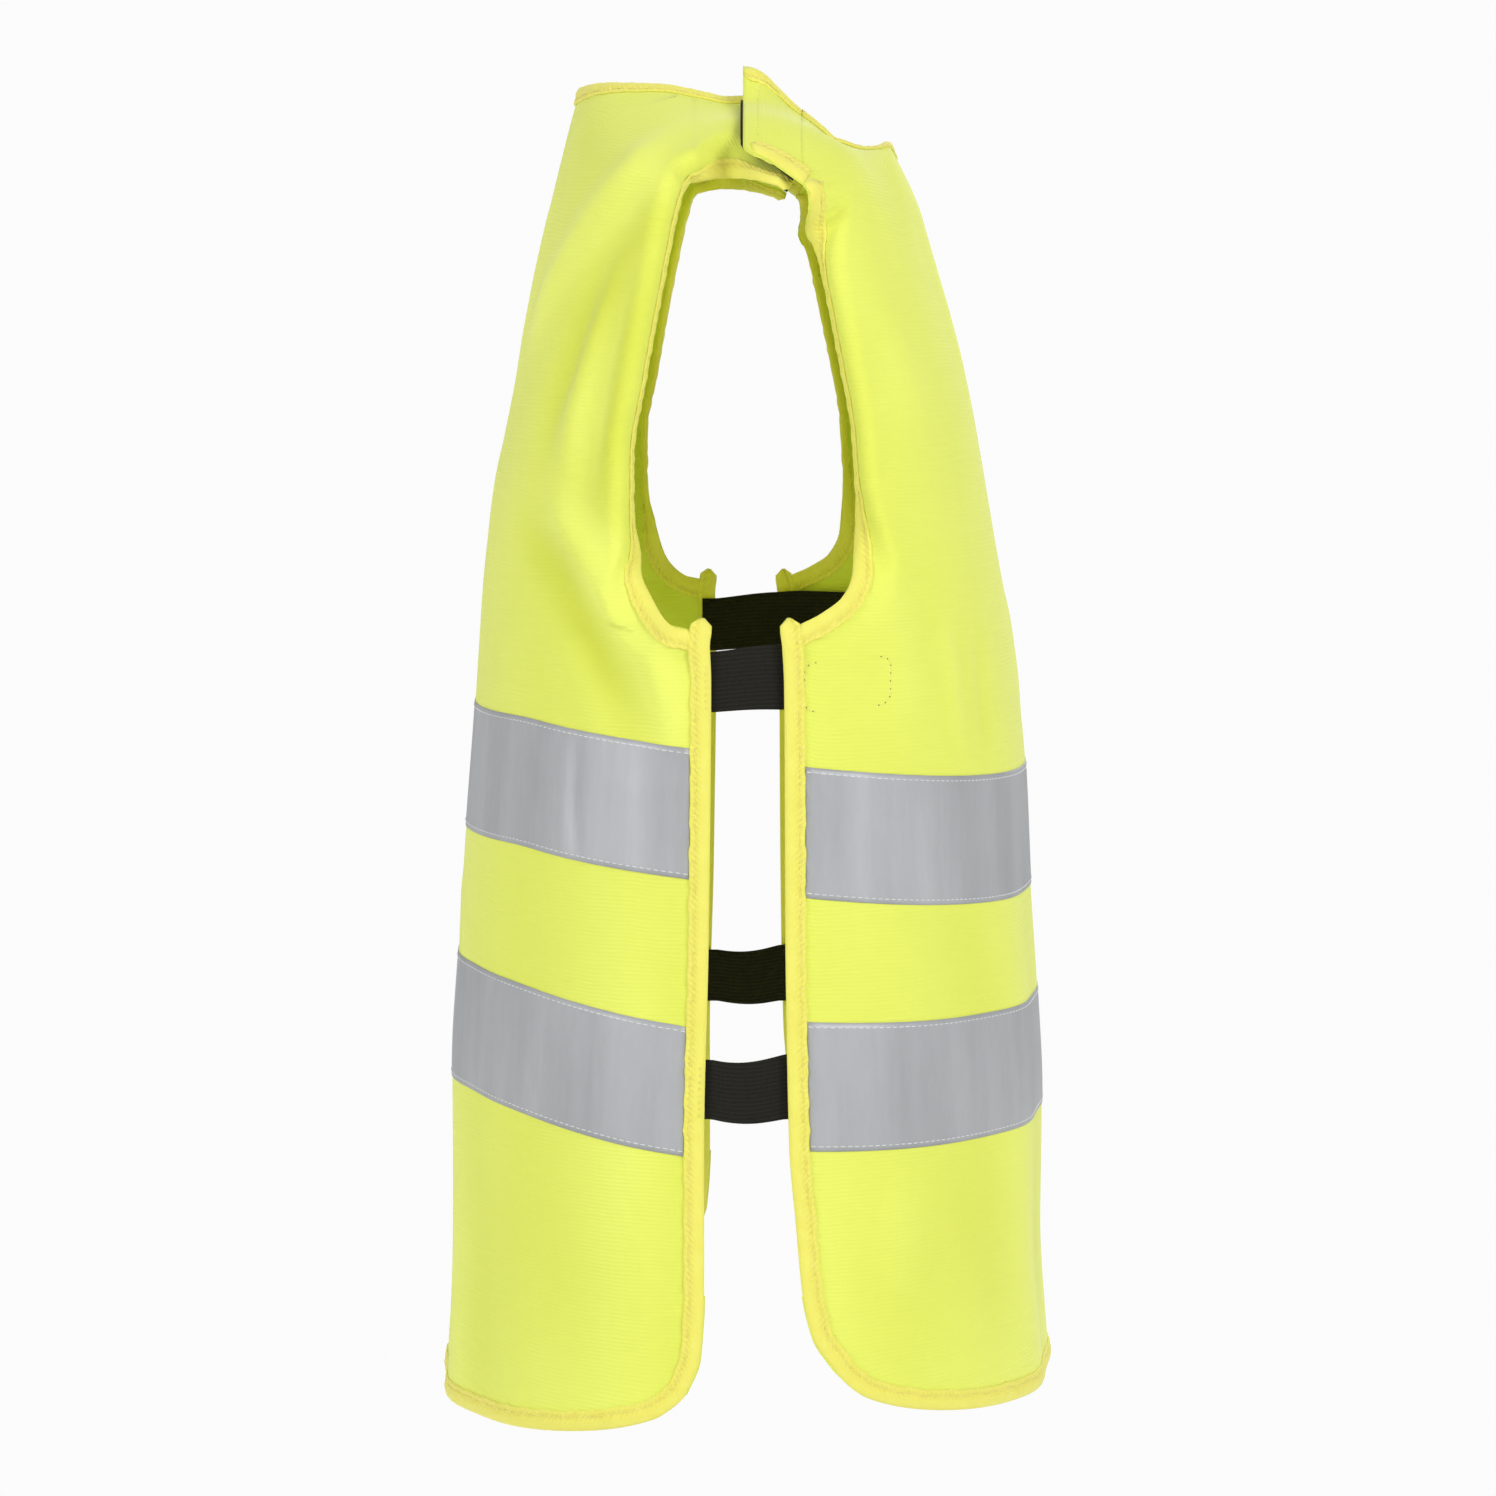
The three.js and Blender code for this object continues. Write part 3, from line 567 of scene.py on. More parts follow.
def roll(panel, p, height, n):
    """Rolls points near an armhole edge inward. Returns their places and outward directions."""
    stand = panel.lift(p) + fold(p)
    line, inwards, turns, crests = ARMHOLES[id(panel)]
    place = p + n * (stand + height)[:, None]
    facing = np.array(n)
    near = np.where((p[:, 2] > ARMHOLE_FOOT_Z - 8) & (np.abs(p[:, 0]) > 50))[0]
    mirror = np.where(p[near, :1] < 0, MIRROR, 1.0)
    q = p[near] * mirror
    best = np.zeros(len(q), int)
    for i in range(0, len(q), 4000):
        gap = np.linalg.norm(q[i:i + 4000, None] - line[None], axis=-1)
        best[i:i + 4000] = gap.argmin(1)
    far = np.linalg.norm(q - line[best], axis=-1)
    act = (far < ROLL_REACH) & (turns[best] > 0.01)
    near, mirror, q, best = near[act], mirror[act], q[act], best[act]
    if not len(near):
        return place, facing
    w, turn, crest = inwards[best], turns[best], crests[best]
    a = ((q - line[best]) * w).sum(-1)
    r = ROLL_RADIUS
    over = np.maximum(ROLLED - a, 0)
    pulled = a - (ROLLED - crest) * (1 - ease((a - ROLLED) / ROLL_PULL))
    base = onto_body(q + w * (np.where(over > 0, crest, pulled) - a)[:, None])
    m = outward(base)
    angle = np.minimum(over / r, turn)
    rest = np.maximum(over - r * turn, 0)
    back = r * np.sin(angle) + rest * np.cos(turn)
    down = r * (1 - np.cos(angle)) + rest * np.sin(turn)
    w = unit(w - m * (w * m).sum(-1, keepdims=True))
    out = m * np.cos(angle)[:, None] - w * np.sin(angle)[:, None]
    moved = base * mirror
    down = down - panel.lift(moved) - fold(moved)
    spot = base - w * back[:, None] - m * down[:, None] + out * height[near][:, None]
    place[near] = spot * mirror
    facing[near] = out * mirror
    return place, facing


NECK_BACK = 6  # how far the front neckline lies back from the body's front


def cloth_at(panel, p, height=0.0):
    """The place on the hanging cloth at a body point, at a height over the cloth's middle."""
    shape = p.shape
    flat = p.reshape(-1, 3)
    n = outward(flat)
    height = np.broadcast_to(height, shape[:-1]).reshape(-1)
    place, facing = roll(panel, flat, height, n)
    sink, droop = settle(flat)
    place[:, 2] += sink
    place[:, 1] += NECK_BACK * ease((-flat[:, 1] - 36) / 24) * ease((flat[:, 2] - 470) / 34)
    if panel is BACK:
        place[:, 2] -= TAB_DROOP * droop
    return place.reshape(shape), facing.reshape(shape)


# ---- meshes ----
def make(name, points, faces, paint, uv=None, flat=None, values=None):
    """A piece from body points. Faces from number flat on aren't smoothed."""
    mesh = bpy.data.meshes.new(name)
    mesh.from_pydata(((points + TO_ORIGIN) * 0.001).tolist(), [], faces)
    smooth_faces = np.ones(len(faces), bool)
    if flat is not None:
        smooth_faces[flat:] = False
    mesh.polygons.foreach_set("use_smooth", smooth_faces)
    if uv is not None:
        index = np.zeros(len(mesh.loops), np.int32)
        mesh.loops.foreach_get("vertex_index", index)
        layer = mesh.uv_layers.new(name="cloth")
        layer.data.foreach_set("uv", uv[index].astype(np.float32).ravel())
    # values: the painted shade of each point, which the knit's material reads
    if values is not None:
        mesh.attributes.new("painted_shade", "FLOAT", "POINT").data.foreach_set(
            "value", values.astype(np.float32))
    mesh.materials.append(paint)
    mesh.update()
    piece = bpy.data.objects.new(name, mesh)
    bpy.context.scene.collection.objects.link(piece)
    return piece


def sheet(name, middle, normal, low, high, paint, uv, used=None, values=None):
    """A closed sheet over a grid of cloth points, from one height to another over their middle."""
    size = middle.shape[:2]
    used = np.ones(size, bool) if used is None else used
    number = np.full(size, -1)
    number[used] = np.arange(used.sum())
    top, under = [middle[used] + normal[used] * np.broadcast_to(height, size)[used][:, None]
                  for height in (high, low)]
    corners = np.stack([number[:-1, :-1], number[:-1, 1:], number[1:, 1:], number[1:, :-1]], -1)
    quads = corners[(corners >= 0).all(-1)]
    q = quads[len(quads) // 2]
    facing = np.cross(top[q[1]] - top[q[0]], top[q[2]] - top[q[0]]) @ normal[used][q[0]]
    if facing < 0:
        quads = quads[:, ::-1]
    n = len(top)
    edges = np.concatenate([quads[:, [i, (i + 1) % 4]] for i in range(4)])
    code = edges[:, 0] * n + edges[:, 1]
    back = edges[:, 1] * n + edges[:, 0]
    rim = edges[~np.isin(code, back)]
    sides = np.stack([rim[:, 1], rim[:, 0], rim[:, 0] + n, rim[:, 1] + n], 1)
    faces = np.concatenate([quads, quads[:, ::-1] + n, sides]).tolist()
    uv = np.tile(uv[used], (2, 1))
    values = None if values is None else np.tile(values[used], 2)
    return make(name, np.concatenate([top, under]), faces, paint, uv, 2 * len(quads), values)


def cloth_uv(grid, start_row):
    """Distances over the cloth in mm: across from the centre line, and up from the hem."""
    steps = np.linalg.norm(np.diff(grid, axis=1), axis=-1)
    across = np.concatenate([np.zeros((len(grid), 1)), np.cumsum(steps, 1)], 1)
    across -= across[:, across.shape[1] // 2][:, None]
    up = np.diff(grid, axis=0)
    along = unit(np.gradient(grid, axis=1))[:-1]
    rise = up - (up * along).sum(-1, keepdims=True) * along
    rise = np.linalg.norm(rise, axis=-1)
    height = np.concatenate([np.zeros((1, grid.shape[1])), np.cumsum(rise, 0)], 0)
    height += grid[start_row, :, 2][None] - height[start_row][None]
    return np.stack([across, height], -1)


# ---- materials ----
# painted glow: the cloth and its binding give light of their own, not from any lamp, which also keeps their
# shaded parts a saturated yellow
GLOW = 0.05  # a little light of its own, as fluorescent cloth gives back


def rgb(r, g, b):
    return (r, g, b, 1.0)


class Nodes:
    """Short ways to write a node tree."""

    def __init__(self, tree):
        self.tree = tree

    def new(self, kind, **settings):
        node = self.tree.nodes.new(kind)
        for key, value in settings.items():
            setattr(node, key, value)
        return node

    def put(self, socket, value):
        if isinstance(value, bpy.types.NodeSocket):
            self.tree.links.new(value, socket)
        else:
            socket.default_value = value

    def math(self, operation, a, b=0.0, c=0.0):
        node = self.new("ShaderNodeMath", operation=operation)
        for socket, value in zip(node.inputs, (a, b, c)):
            self.put(socket, value)
        return node.outputs[0]

    def times(self, a, b):
        return self.math("MULTIPLY", a, b)

    def times_plus(self, a, b, c):
        return self.math("MULTIPLY_ADD", a, b, c)

    def uv(self):
        """The cloth's own coordinates in mm: as a vector, across and up."""
        node = self.new("ShaderNodeUVMap", uv_map="cloth")
        parts = self.new("ShaderNodeSeparateXYZ")
        self.put(parts.inputs[0], node.outputs[0])
        return node.outputs[0], parts.outputs[0], parts.outputs[1]

    def noise(self, vector, scale, detail=2.0, stretch=None):
        if stretch is not None:
            node = self.new("ShaderNodeMapping")
            self.put(node.inputs["Vector"], vector)
            node.inputs["Scale"].default_value = stretch
            vector = node.outputs[0]
        node = self.new("ShaderNodeTexNoise")
        self.put(node.inputs["Vector"], vector)
        node.inputs["Scale"].default_value = scale
        node.inputs["Detail"].default_value = detail
        return node.outputs[0]

    def wave(self, distance, pitch):
        """A wave of one pitch along a distance, from 0 to 1."""
        turned = self.times(distance, 2 * math.pi / pitch)
        return self.times_plus(self.math("SINE", turned), 0.5, 0.5)

    def blend(self, share, a, b):
        """One colour turned into another by a share."""
        node = self.new("ShaderNodeMix", data_type="RGBA", clamp_factor=True)
        self.put(node.inputs["Factor"], share)
        self.put(node.inputs[6], a)
        self.put(node.inputs[7], b)
        return node.outputs[2]


class Paint(Nodes):
    """A material with its node tree."""

    def __init__(self, name, colour, roughness, sheen=0.0, metallic=0.0, specular=0.3):
        self.material = bpy.data.materials.new(name)
        self.material.use_nodes = True
        self.material.diffuse_color = colour
        super().__init__(self.material.node_tree)
        self.shader = self.tree.nodes["Principled BSDF"]
        for key, value in (("Base Color", colour), ("Roughness", roughness), ("Metallic", metallic),
                           ("Sheen Weight", sheen), ("Specular IOR Level", specular)):
            self.put(self.shader.inputs[key], value)

    def cover(self, colour, relief, depth, strength):
        """Gives the surface its colour and its relief."""
        self.put(self.shader.inputs["Base Color"], colour)
        bump = self.new("ShaderNodeBump")
        bump.inputs["Strength"].default_value = strength
        bump.inputs["Distance"].default_value = depth
        self.put(bump.inputs["Height"], relief)
        self.put(self.shader.inputs["Normal"], bump.outputs[0])
        return self.material

    def glow(self, colour):
        self.put(self.shader.inputs["Emission Color"], colour)
        self.shader.inputs["Emission Strength"].default_value = GLOW


def knit_paint():
    """Warp-knitted cloth: fine level ribs that waver a little, a painted glow, and painted shade, a deeper
    yellow, in the hollows of its folds.
    """
    p = Paint("knit", rgb(0.74, 0.84, 0.14), 0.85, 0.25)
    # painted glow, not from any lamp
    p.glow(rgb(0.72, 0.80, 0.05))
    vector, across, up = p.uv()
    waver = p.noise(vector, 0.035, 2.0)
    rib = p.wave(p.times_plus(waver, 3.0, up), 1.55)
    needle = p.wave(across, 1.1)
    grain = p.noise(vector, 1.1, 3.0)
    # painted shade: the deeper a place lies in the folds' hollows, the deeper its yellow, mixed with broad
    # random patches of tone
    painted_shade = p.new("ShaderNodeAttribute", attribute_name="painted_shade").outputs["Fac"]
    patch = p.noise(vector, 0.02, 3.0)
    tone = p.times_plus(painted_shade, 0.75, p.times(patch, 0.25))
    # the cloth's own yellow, and the deeper yellow of the painted shade
    colour = p.blend(tone, rgb(0.82, 0.89, 0.165), rgb(0.62, 0.68, 0.045))
    fleck = p.times_plus(grain, 0.16, p.times(rib, 0.10))
    colour = p.blend(fleck, colour, rgb(0.70, 0.76, 0.10))
    relief = p.times_plus(grain, 0.35, p.times_plus(needle, 0.2, rib))
    return p.cover(colour, relief, 0.00013, 0.6)


def binding_paint():
    """Folded binding tape: a close plain weave, warmer than the cloth, pulled askew along its seam."""
    p = Paint("binding", rgb(0.84, 0.81, 0.13), 0.8, 0.2)
    # painted glow, not from any lamp
    p.glow(rgb(0.8, 0.72, 0.03))
    vector, along, over = p.uv()
    slant = p.times_plus(over, 0.8, along)
    reach = 3.0  # the seam pulls the weave this far to each side
    from_seam = p.math("ABSOLUTE", p.math("SUBTRACT", over, SEAM_IN))
    away = p.math("DIVIDE", p.math("SMOOTH_MIN", from_seam, reach, 0.5), reach)
    pull = p.times(p.wave(slant, 2.3), p.math("SUBTRACT", 1.0, away))
    weave = p.times(p.wave(along, 0.8), p.wave(over, 0.8))
    soft = p.noise(vector, 0.12, 3.0)
    tone = p.times_plus(pull, 0.30, p.times(soft, 0.5))
    colour = p.blend(tone, rgb(0.84, 0.82, 0.17), rgb(0.75, 0.65, 0.065))
    relief = p.times_plus(soft, 1.2, p.times_plus(weave, 0.25, pull))
    return p.cover(colour, relief, 0.0003, 0.8)


def tape_paint():
    """Retroreflective tape: silver with a fine grain, soft creases with painted sheen streaks along them, and
    broad painted patches of shade and highlight.
    """
    p = Paint("reflective_tape", rgb(0.42, 0.44, 0.46), 0.5, 0.0, 0.25)
    vector = p.uv()[0]
    crease_and_sheen_streak = p.noise(vector, 0.05, 3.0, (1.0, 0.12, 1.0))
    grain = p.noise(vector, 1.6, 2.0)
    fine = p.noise(vector, 0.4, 3.0, (1.0, 0.2, 1.0))
    painted_shading_patch = p.noise(vector, 0.016, 2.0, (1.0, 0.5, 1.0))
    # tone: a fine grain, painted light and dark sheen streaks along the creases, and broad painted patches of
    # shade and highlight
    tone = p.times_plus(grain, 0.12, p.times(crease_and_sheen_streak, 0.55))
    tone = p.times_plus(fine, 0.12, p.times_plus(painted_shading_patch, 0.45, tone))
    colour = p.blend(tone, rgb(0.22, 0.228, 0.238), rgb(0.56, 0.572, 0.59))
    relief = p.times_plus(grain, 0.15, p.times(crease_and_sheen_streak, 4.0))
    return p.cover(colour, relief, 0.0006, 0.6)


def elastic_paint():
    """Woven elastic: lengthwise ribs crossed by close weft threads."""
    p = Paint("elastic", rgb(0.018, 0.018, 0.016), 0.8, 0.03, 0.0, 0.12)
    vector, along, over = p.uv()
    rib = p.wave(over, 1.6)
    weft = p.wave(along, 0.75)
    grain = p.noise(vector, 1.5, 2.0)
    tone = p.times_plus(grain, 0.4, p.times_plus(weft, 0.35, p.times(rib, 0.35)))
    colour = p.blend(tone, rgb(0.007, 0.007, 0.006), rgb(0.024, 0.023, 0.018))
    return p.cover(colour, p.times_plus(weft, 0.6, rib), 0.0003, 0.8)


def fastener_paint():
    """Hook-and-loop pile."""
    p = Paint("fastener", rgb(0.015, 0.015, 0.014), 0.95, 0.05, 0.0, 0.1)
    pile = p.noise(p.new("ShaderNodeTexCoord").outputs["Object"], 1800.0, 3.0)
    colour = p.blend(pile, rgb(0.005, 0.005, 0.005), rgb(0.028, 0.027, 0.024))
    return p.cover(colour, pile, 0.0006, 1.0)


def thread_paint(name, colour):
    return Paint(name, colour, 0.6, 0.2).material


KNIT = knit_paint()
BINDING = binding_paint()
TAPE = tape_paint()
ELASTIC = elastic_paint()
FASTENER = fastener_paint()
YELLOW_THREAD = thread_paint("yellow_thread", rgb(0.86, 0.78, 0.22))
GREY_THREAD = thread_paint("grey_thread", rgb(0.74, 0.75, 0.74))
DARK_THREAD = thread_paint("dark_thread", rgb(0.10, 0.11, 0.03))


# ---- stitching ----
# Each kind of seam: pitch of its stitches, length of one on the surface, radius of the thread.
STITCHES = {
    "binding": (2.7, 2.1, 0.24), "tape": (2.9, 2.1, 0.2), "flap": (2.9, 2.1, 0.2),
    "strap_end": (2.6, 1.2, 0.24), "patch": (3.0, 2.3, 0.16), "needle_mark": (3.0, 0.5, 0.27),
}


def stitch_row(points, outs, kind, start=0.0):
    """Places of the stitches along a run of points: middle, direction, outward, length, radius."""
    pitch, length, radius = STITCHES[kind]
    run = run_of(points)
    at = np.arange(start + pitch / 2, run[-1] - pitch / 2, pitch)
    out = unit(on_run(outs, run, at))
    along = unit(on_run(points, run, at + length / 2) - on_run(points, run, at - length / 2))
    return on_run(points, run, at), along, out, np.full(len(at), length), np.full(len(at), radius)


def sew(name, rows, paint):
    """One mesh with a small raised stitch at each place."""
    middle, along, out, length, radius = [np.concatenate(part) for part in zip(*rows)]
    side = unit(np.cross(out, along))
    shape = []
    for x, size, rise in ((-0.5, 0.45, -0.5), (-0.25, 1, 0.2), (0.25, 1, 0.2), (0.5, 0.45, -0.5)):
        for k in range(6):
            turn = math.pi * 2 * k / 6
            shape.append((x, size * math.cos(turn), size * math.sin(turn) + rise))
    shape = np.array(shape)
    points = (middle[:, None] + along[:, None] * (shape[:, 0] * length[:, None])[..., None]
              + side[:, None] * (shape[:, 1] * radius[:, None])[..., None]
              + out[:, None] * (shape[:, 2] * radius[:, None])[..., None])
    one = [[r * 6 + k, r * 6 + (k + 1) % 6, r * 6 + 6 + (k + 1) % 6, r * 6 + 6 + k]
           for r in range(3) for k in range(6)]
    one += [[5, 4, 3, 2, 1, 0], [18, 19, 20, 21, 22, 23]]
    faces = [[i + len(shape) * s for i in face] for s in range(len(middle)) for face in one]
    return make(name, points.reshape(-1, 3), faces, paint)


# ---- bindings ----
def flipped(run):
    """The same run on the other side of the cloth's middle, back to its start."""
    return [(a, -b) for a, b in reversed(run)]


# The folded binding's section: distance in from the cloth's edge, and height over its middle.
OUTSIDE = [
    (LEAF + 0.1, 0.4), (LEAF + 0.05, 0.85), (LEAF - 0.3, 1.15), (LEAF - 1.1, 1.25),
    (SEAM_IN + 0.4, 1.05), (SEAM_IN, 0.95), (SEAM_IN - 0.4, 1.05), (SEAM_IN - 1.2, 1.35),
    (2.2, 1.5), (1.2, 1.45), (0.2, 1.25), (-0.7, 0.9), (-1.3, 0.45)]
INSIDE = [(LEAF - 0.8, -0.38), (3, -0.6), (0.6, -0.6), (-0.6, -0.35)]
SECTION = np.array(OUTSIDE + [(-1.5, 0)] + flipped(OUTSIDE) + INSIDE + [(-0.9, 0)] + flipped(INSIDE))
SECTION_MIDDLE = 2.8
SEAM_HEIGHT = 1.08  # the seam's stitches lie this far over the cloth's middle


def binding(name, panel, edge, inside, seed, raised=None, round_ends=(0, 0), at=cloth_at):
    """Binding folded round an edge, with its seam. Returns the piece and the seam's stitch rows."""
    edge, run = resampled(edge)
    n = outward(edge)
    tangent = unit(np.gradient(edge, axis=0))
    inward = unit(np.cross(tangent, n))
    aim = inside(edge) - edge
    inward = np.where((inward * aim).sum(-1, keepdims=True) < 0, -inward, inward)
    rise = np.zeros(len(edge)) if raised is None else raised(edge)
    squeeze = np.ones(len(edge))
    for size, away in zip(round_ends, (run, run[-1] - run)):
        if size:
            t = np.clip(1 - away / size, 0, 1)
            squeeze = np.minimum(squeeze, np.sqrt(np.maximum(1 - t**2, 0.03)))
    waver = 0.25 * ripple(run, seed, 9)
    puff = 0.12 * ripple(run, seed + 1, 6)
    pull = 0.5 + 0.5 * np.sin(2 * np.pi * run / 4.6 + ripple(run, seed + 2, 30))
    rings = []
    for a, b in SECTION:
        deep = EDGE_IN + SECTION_MIDDLE + (a - SECTION_MIDDLE) * squeeze + np.where(a > 4, waver, 0)
        high = b * (1 + (puff - 0.12 * pull * math.exp(-((a - SEAM_IN) / 1.6) ** 2)))
        high = high + math.copysign(1, b) * rise
        rings.append(at(panel, onto_body(edge + inward * deep[:, None]), high)[0])
    points = np.stack(rings, 1)
    stations, size = points.shape[:2]
    cells = [[i * size + j, i * size + k, (i + 1) * size + k, (i + 1) * size + j]
             for i in range(stations - 1) for j, k in zip(range(size), [*range(1, size), 0])]
    faces = cells + [list(range(size))[::-1], list(range((stations - 1) * size, stations * size))]
    flat = points.reshape(-1, 3)
    a, b, c = flat[cells[0][:3]]
    centre = points[:2].mean((0, 1))
    if np.cross(b - a, c - a) @ (a - centre) < 0:
        faces = [face[::-1] for face in faces]
    uv = np.stack([np.repeat(run, size), np.tile(SECTION[:, 0], stations)], 1)
    piece = make(name, flat, faces, BINDING, uv, len(cells))
    q = onto_body(edge + inward * (EDGE_IN + SEAM_IN + waver)[:, None])
    keep = (run > round_ends[0] * 0.6) & (run < run[-1] - round_ends[1] * 0.6)
    rows = []
    for sign in (1, -1):
        seam, m = at(panel, q, sign * (SEAM_HEIGHT + rise))
        rows.append(stitch_row(seam[keep], (sign * m)[keep], "binding"))
    return piece, rows


def on_side(sign, p):
    """A left-hand run of points, on the side of the sign."""
    return p if sign > 0 else p * MIRROR


# Columns of a panel's cloth, close enough together for the folds, up to under the binding.
LAST_COLUMN = 12.82
FINE = np.concatenate([np.linspace(0, LEAF_EDGE, 85), np.linspace(LEAF_EDGE, LAST_COLUMN, 5)[1:]])
CREASE = {"start": (0, -0.021, 0.497), "end": (0, -0.075, 0.455)}  # the front's bend, in metres


def follow(piece, body, nodes=(), crossing=None):
    """Ties a finished piece to its body, or, given a crossing, only bakes its place into its mesh."""
    if crossing:
        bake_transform(piece)
    else:
        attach(piece, body)
    if nodes:
        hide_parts(*nodes)


# ---- the two panels with their tapes ----
# The tapes were sewn on a little askew: their rise at columns out from the centre line.
TAPE_RISE = {
    ("back", "upper"): smooth([(0, 6.5), (4, 7), (6.5, 7.5), (9, 4.8), (12.1, 0)]),
    ("back", "lower"): smooth([(0, 7), (4, 7), (6.5, 5.5), (9, 1.5), (12.1, -5.5)]),
    ("front", "upper"): smooth([(0, 1), (6, 0), (12.1, 1.2)]),
    ("front", "lower"): smooth([(0, 2), (6, 1.5), (12.1, 0)]),
}
TAPE_END = 12.24  # the tape's last column, just under the binding
TAB_FROM = 7.1  # the tab's first column, just outside the neck edge
LEVEL_ROW = 24  # the row of a panel's cloth from which heights are counted
THREAD_OVER = 0.06  # a thread lies this far over what it holds


def painted_fold_shade(p):
    """How deep each place lies in the folds, 0 to 1: the share of painted shade, a deeper yellow, there."""
    return np.clip(0.34 - fold(p) * 0.2, 0, 1)


def build_panel(name, panel):
    """A panel of knitted cloth, with its two reflective tapes and their seams."""
    grid = whole(panel.half_rows(FINE))
    used = np.ones(grid.shape[:2], bool)
    if panel is BACK:
        both = np.concatenate([-FINE[:0:-1], FINE])
        tab = np.stack([on_shoulder(np.sign(both) * shoulder_x(np.abs(both), y), y + 0 * both)
                        for y in TAB_ROWS_Y])
        grid = np.concatenate([grid, tab])
        on_tab = np.broadcast_to(np.abs(both) >= TAB_FROM, tab.shape[:2])
        used = np.concatenate([used, on_tab])
    middle, normal = cloth_at(panel, grid)
    uv = cloth_uv(grid, LEVEL_ROW)
    # painted shade, deeper in the hollows of the folds
    shade = painted_fold_shade(grid)
    piece = sheet(name + "_panel", middle, normal, -CLOTH, CLOTH, KNIT, uv, used, shade)
    follow(piece, name, [name + "_panel"], CREASE if panel is FRONT else None)

    columns = np.concatenate([FINE[FINE <= LEAF_EDGE], [TAPE_END]])
    rows = []
    for which, foot in panel.tapes.items():
        z = np.linspace(foot, foot + TAPE_WIDTH, 21)
        rise = TAPE_RISE[name, which](columns)
        tape = whole(panel.rows_at(z, columns, rise))
        middle, normal = cloth_at(panel, tape)
        full = f"{name}_{which}_reflective_tape"
        piece = sheet(full, middle, normal, TAPE_LOW, TAPE_HIGH, TAPE, cloth_uv(tape, 0))
        follow(piece, name, [full])
        for z_seam in (foot + TAPE_SEAM_IN, foot + TAPE_WIDTH - TAPE_SEAM_IN):
            line = whole(panel.rows_at([z_seam], columns, rise))[0]
            for face, height in ((1, TAPE_HIGH + THREAD_OVER), (-1, -CLOTH - THREAD_OVER)):
                seam, out = cloth_at(panel, line, height)
                rows.append(stitch_row(seam, face * out, "tape"))
    piece = sew(name + "_tape_stitching", rows, GREY_THREAD)
    follow(piece, name)


def side_edge(panel):
    """The left side's edge, from the hem's corner up to a short horn over the armhole's foot."""
    low_z = np.linspace(panel.corner_z, panel.first_z, 24)[1:-1]
    horn_z = np.linspace(panel.first_z, 323.5, 120)
    horn_foot = 314
    horn_y = panel.side_y(np.minimum(horn_z, horn_foot)) - 0.16 * np.maximum(horn_z - horn_foot, 0)
    return np.concatenate([panel.side_point(panel.side_y(low_z), low_z),
                           panel.side_point(horn_y, horn_z)])


def build_bindings(name, panel):
    """The bindings of a panel's side edges and hem, armholes and neck, and their stitches."""
    crossing = CREASE if panel is FRONT else None
    tab_end = 3 if panel is BACK else 0
    seams = []

    def hem_inside(p):
        aim = np.stack([p[:, 0] * 0.7, p[:, 1] + panel.toward * 60, np.full(len(p), 150.0)], 1)
        return mix(p, aim, 0.5)

    def armhole_inside(p):
        return np.stack([p[:, 0] * 0.6, p[:, 1] + panel.toward * 30, p[:, 2]], 1)

    def neck_inside(p):
        return np.stack([p[:, 0] * 1.4, p[:, 1] * 1.4, p[:, 2] - 10], 1)

    def horn_rise(p):
        return 0.6 * ease((p[:, 2] - 302) / 8)

    def bind(full, bends, *settings):
        piece, rows = binding(full, panel, *settings)
        follow(piece, name, [full], bends)
        seams.extend(rows)

    side = side_edge(panel)
    hem = whole(panel.hem_row(np.linspace(0, OUTLINE, 90))[None])[0]
    edge = np.concatenate([side[::-1] * MIRROR, hem, side])
    bind(name + "_side_hem_binding", None, edge, hem_inside, 11, horn_rise, (4, 4))

    upper = armhole_edge(panel, 60, 70)
    for side_name, sign in SIDES.items():
        bind(f"{name}_armhole_binding_{side_name}", crossing, on_side(sign, upper), armhole_inside,
             23 + sign, None, (0, tab_end))

    neck = panel.top_row(np.linspace(0, NECK, 60))
    if panel is BACK:
        neck = np.concatenate([neck, on_shoulder(neck_x(TAB_ROWS_Y), TAB_ROWS_Y)])
    edge = whole(neck[None])[0]
    bind(name + "_neck_binding", crossing, edge, neck_inside, 37, None, (tab_end, tab_end))

    piece = sew(name + "_binding_stitching", seams, YELLOW_THREAD)
    follow(piece, name, crossing=crossing)


build_panel("back", BACK)
build_panel("front", FRONT)
build_bindings("back", BACK)
build_bindings("front", FRONT)


# ---- the shoulder flaps and their fastener strips ----
FLAP_CORNER = 4
STRIP_CORNER = 7
SEAM_BACK = 0.74  # the flap's seam, as a share of its length from the fold
FLAP_HEM_FROM = 0.62  # the flap's free edge is turned under from this share on


def narrowing(y):
    """How far the flap has narrowed from its fold to y, as a share."""
    return ease((y - FOLD_Y) / 19)


def flap_lift(p):
    """The flap lies on the fastener, and its corner by the neck stands up."""
    neck = ease((84 - np.abs(p[..., 0])) / 24)
    return FLAP_LIFT + 8.5 * neck * ease((p[..., 1] + 16) / 17)


def flap_points(across, back):
    """Body points of a left flap: across from neck to armhole, back from the fold to its free edge."""
    rough_y = mix(FOLD_Y, FLAP_EDGE_Y, back)
    armhole = SHOULDER_END_X - FLAP_TAPER * narrowing(rough_y)
    x = mix(neck_x(rough_y), armhole, across)
    past = np.clip(x - (armhole - FLAP_CORNER), 0, FLAP_CORNER)
    cut = FLAP_CORNER - np.sqrt(np.maximum(FLAP_CORNER**2 - past**2, 0))
    return on_shoulder(x, mix(FOLD_Y, FLAP_EDGE_Y - cut, back))


def flap_cloth(panel, p, height=0.0):
    n = outward(p)
    place = p + n * (flap_lift(p) + fold(p) + height)[..., None]
    place[..., 2] += settle(p)[0]
    return place, n


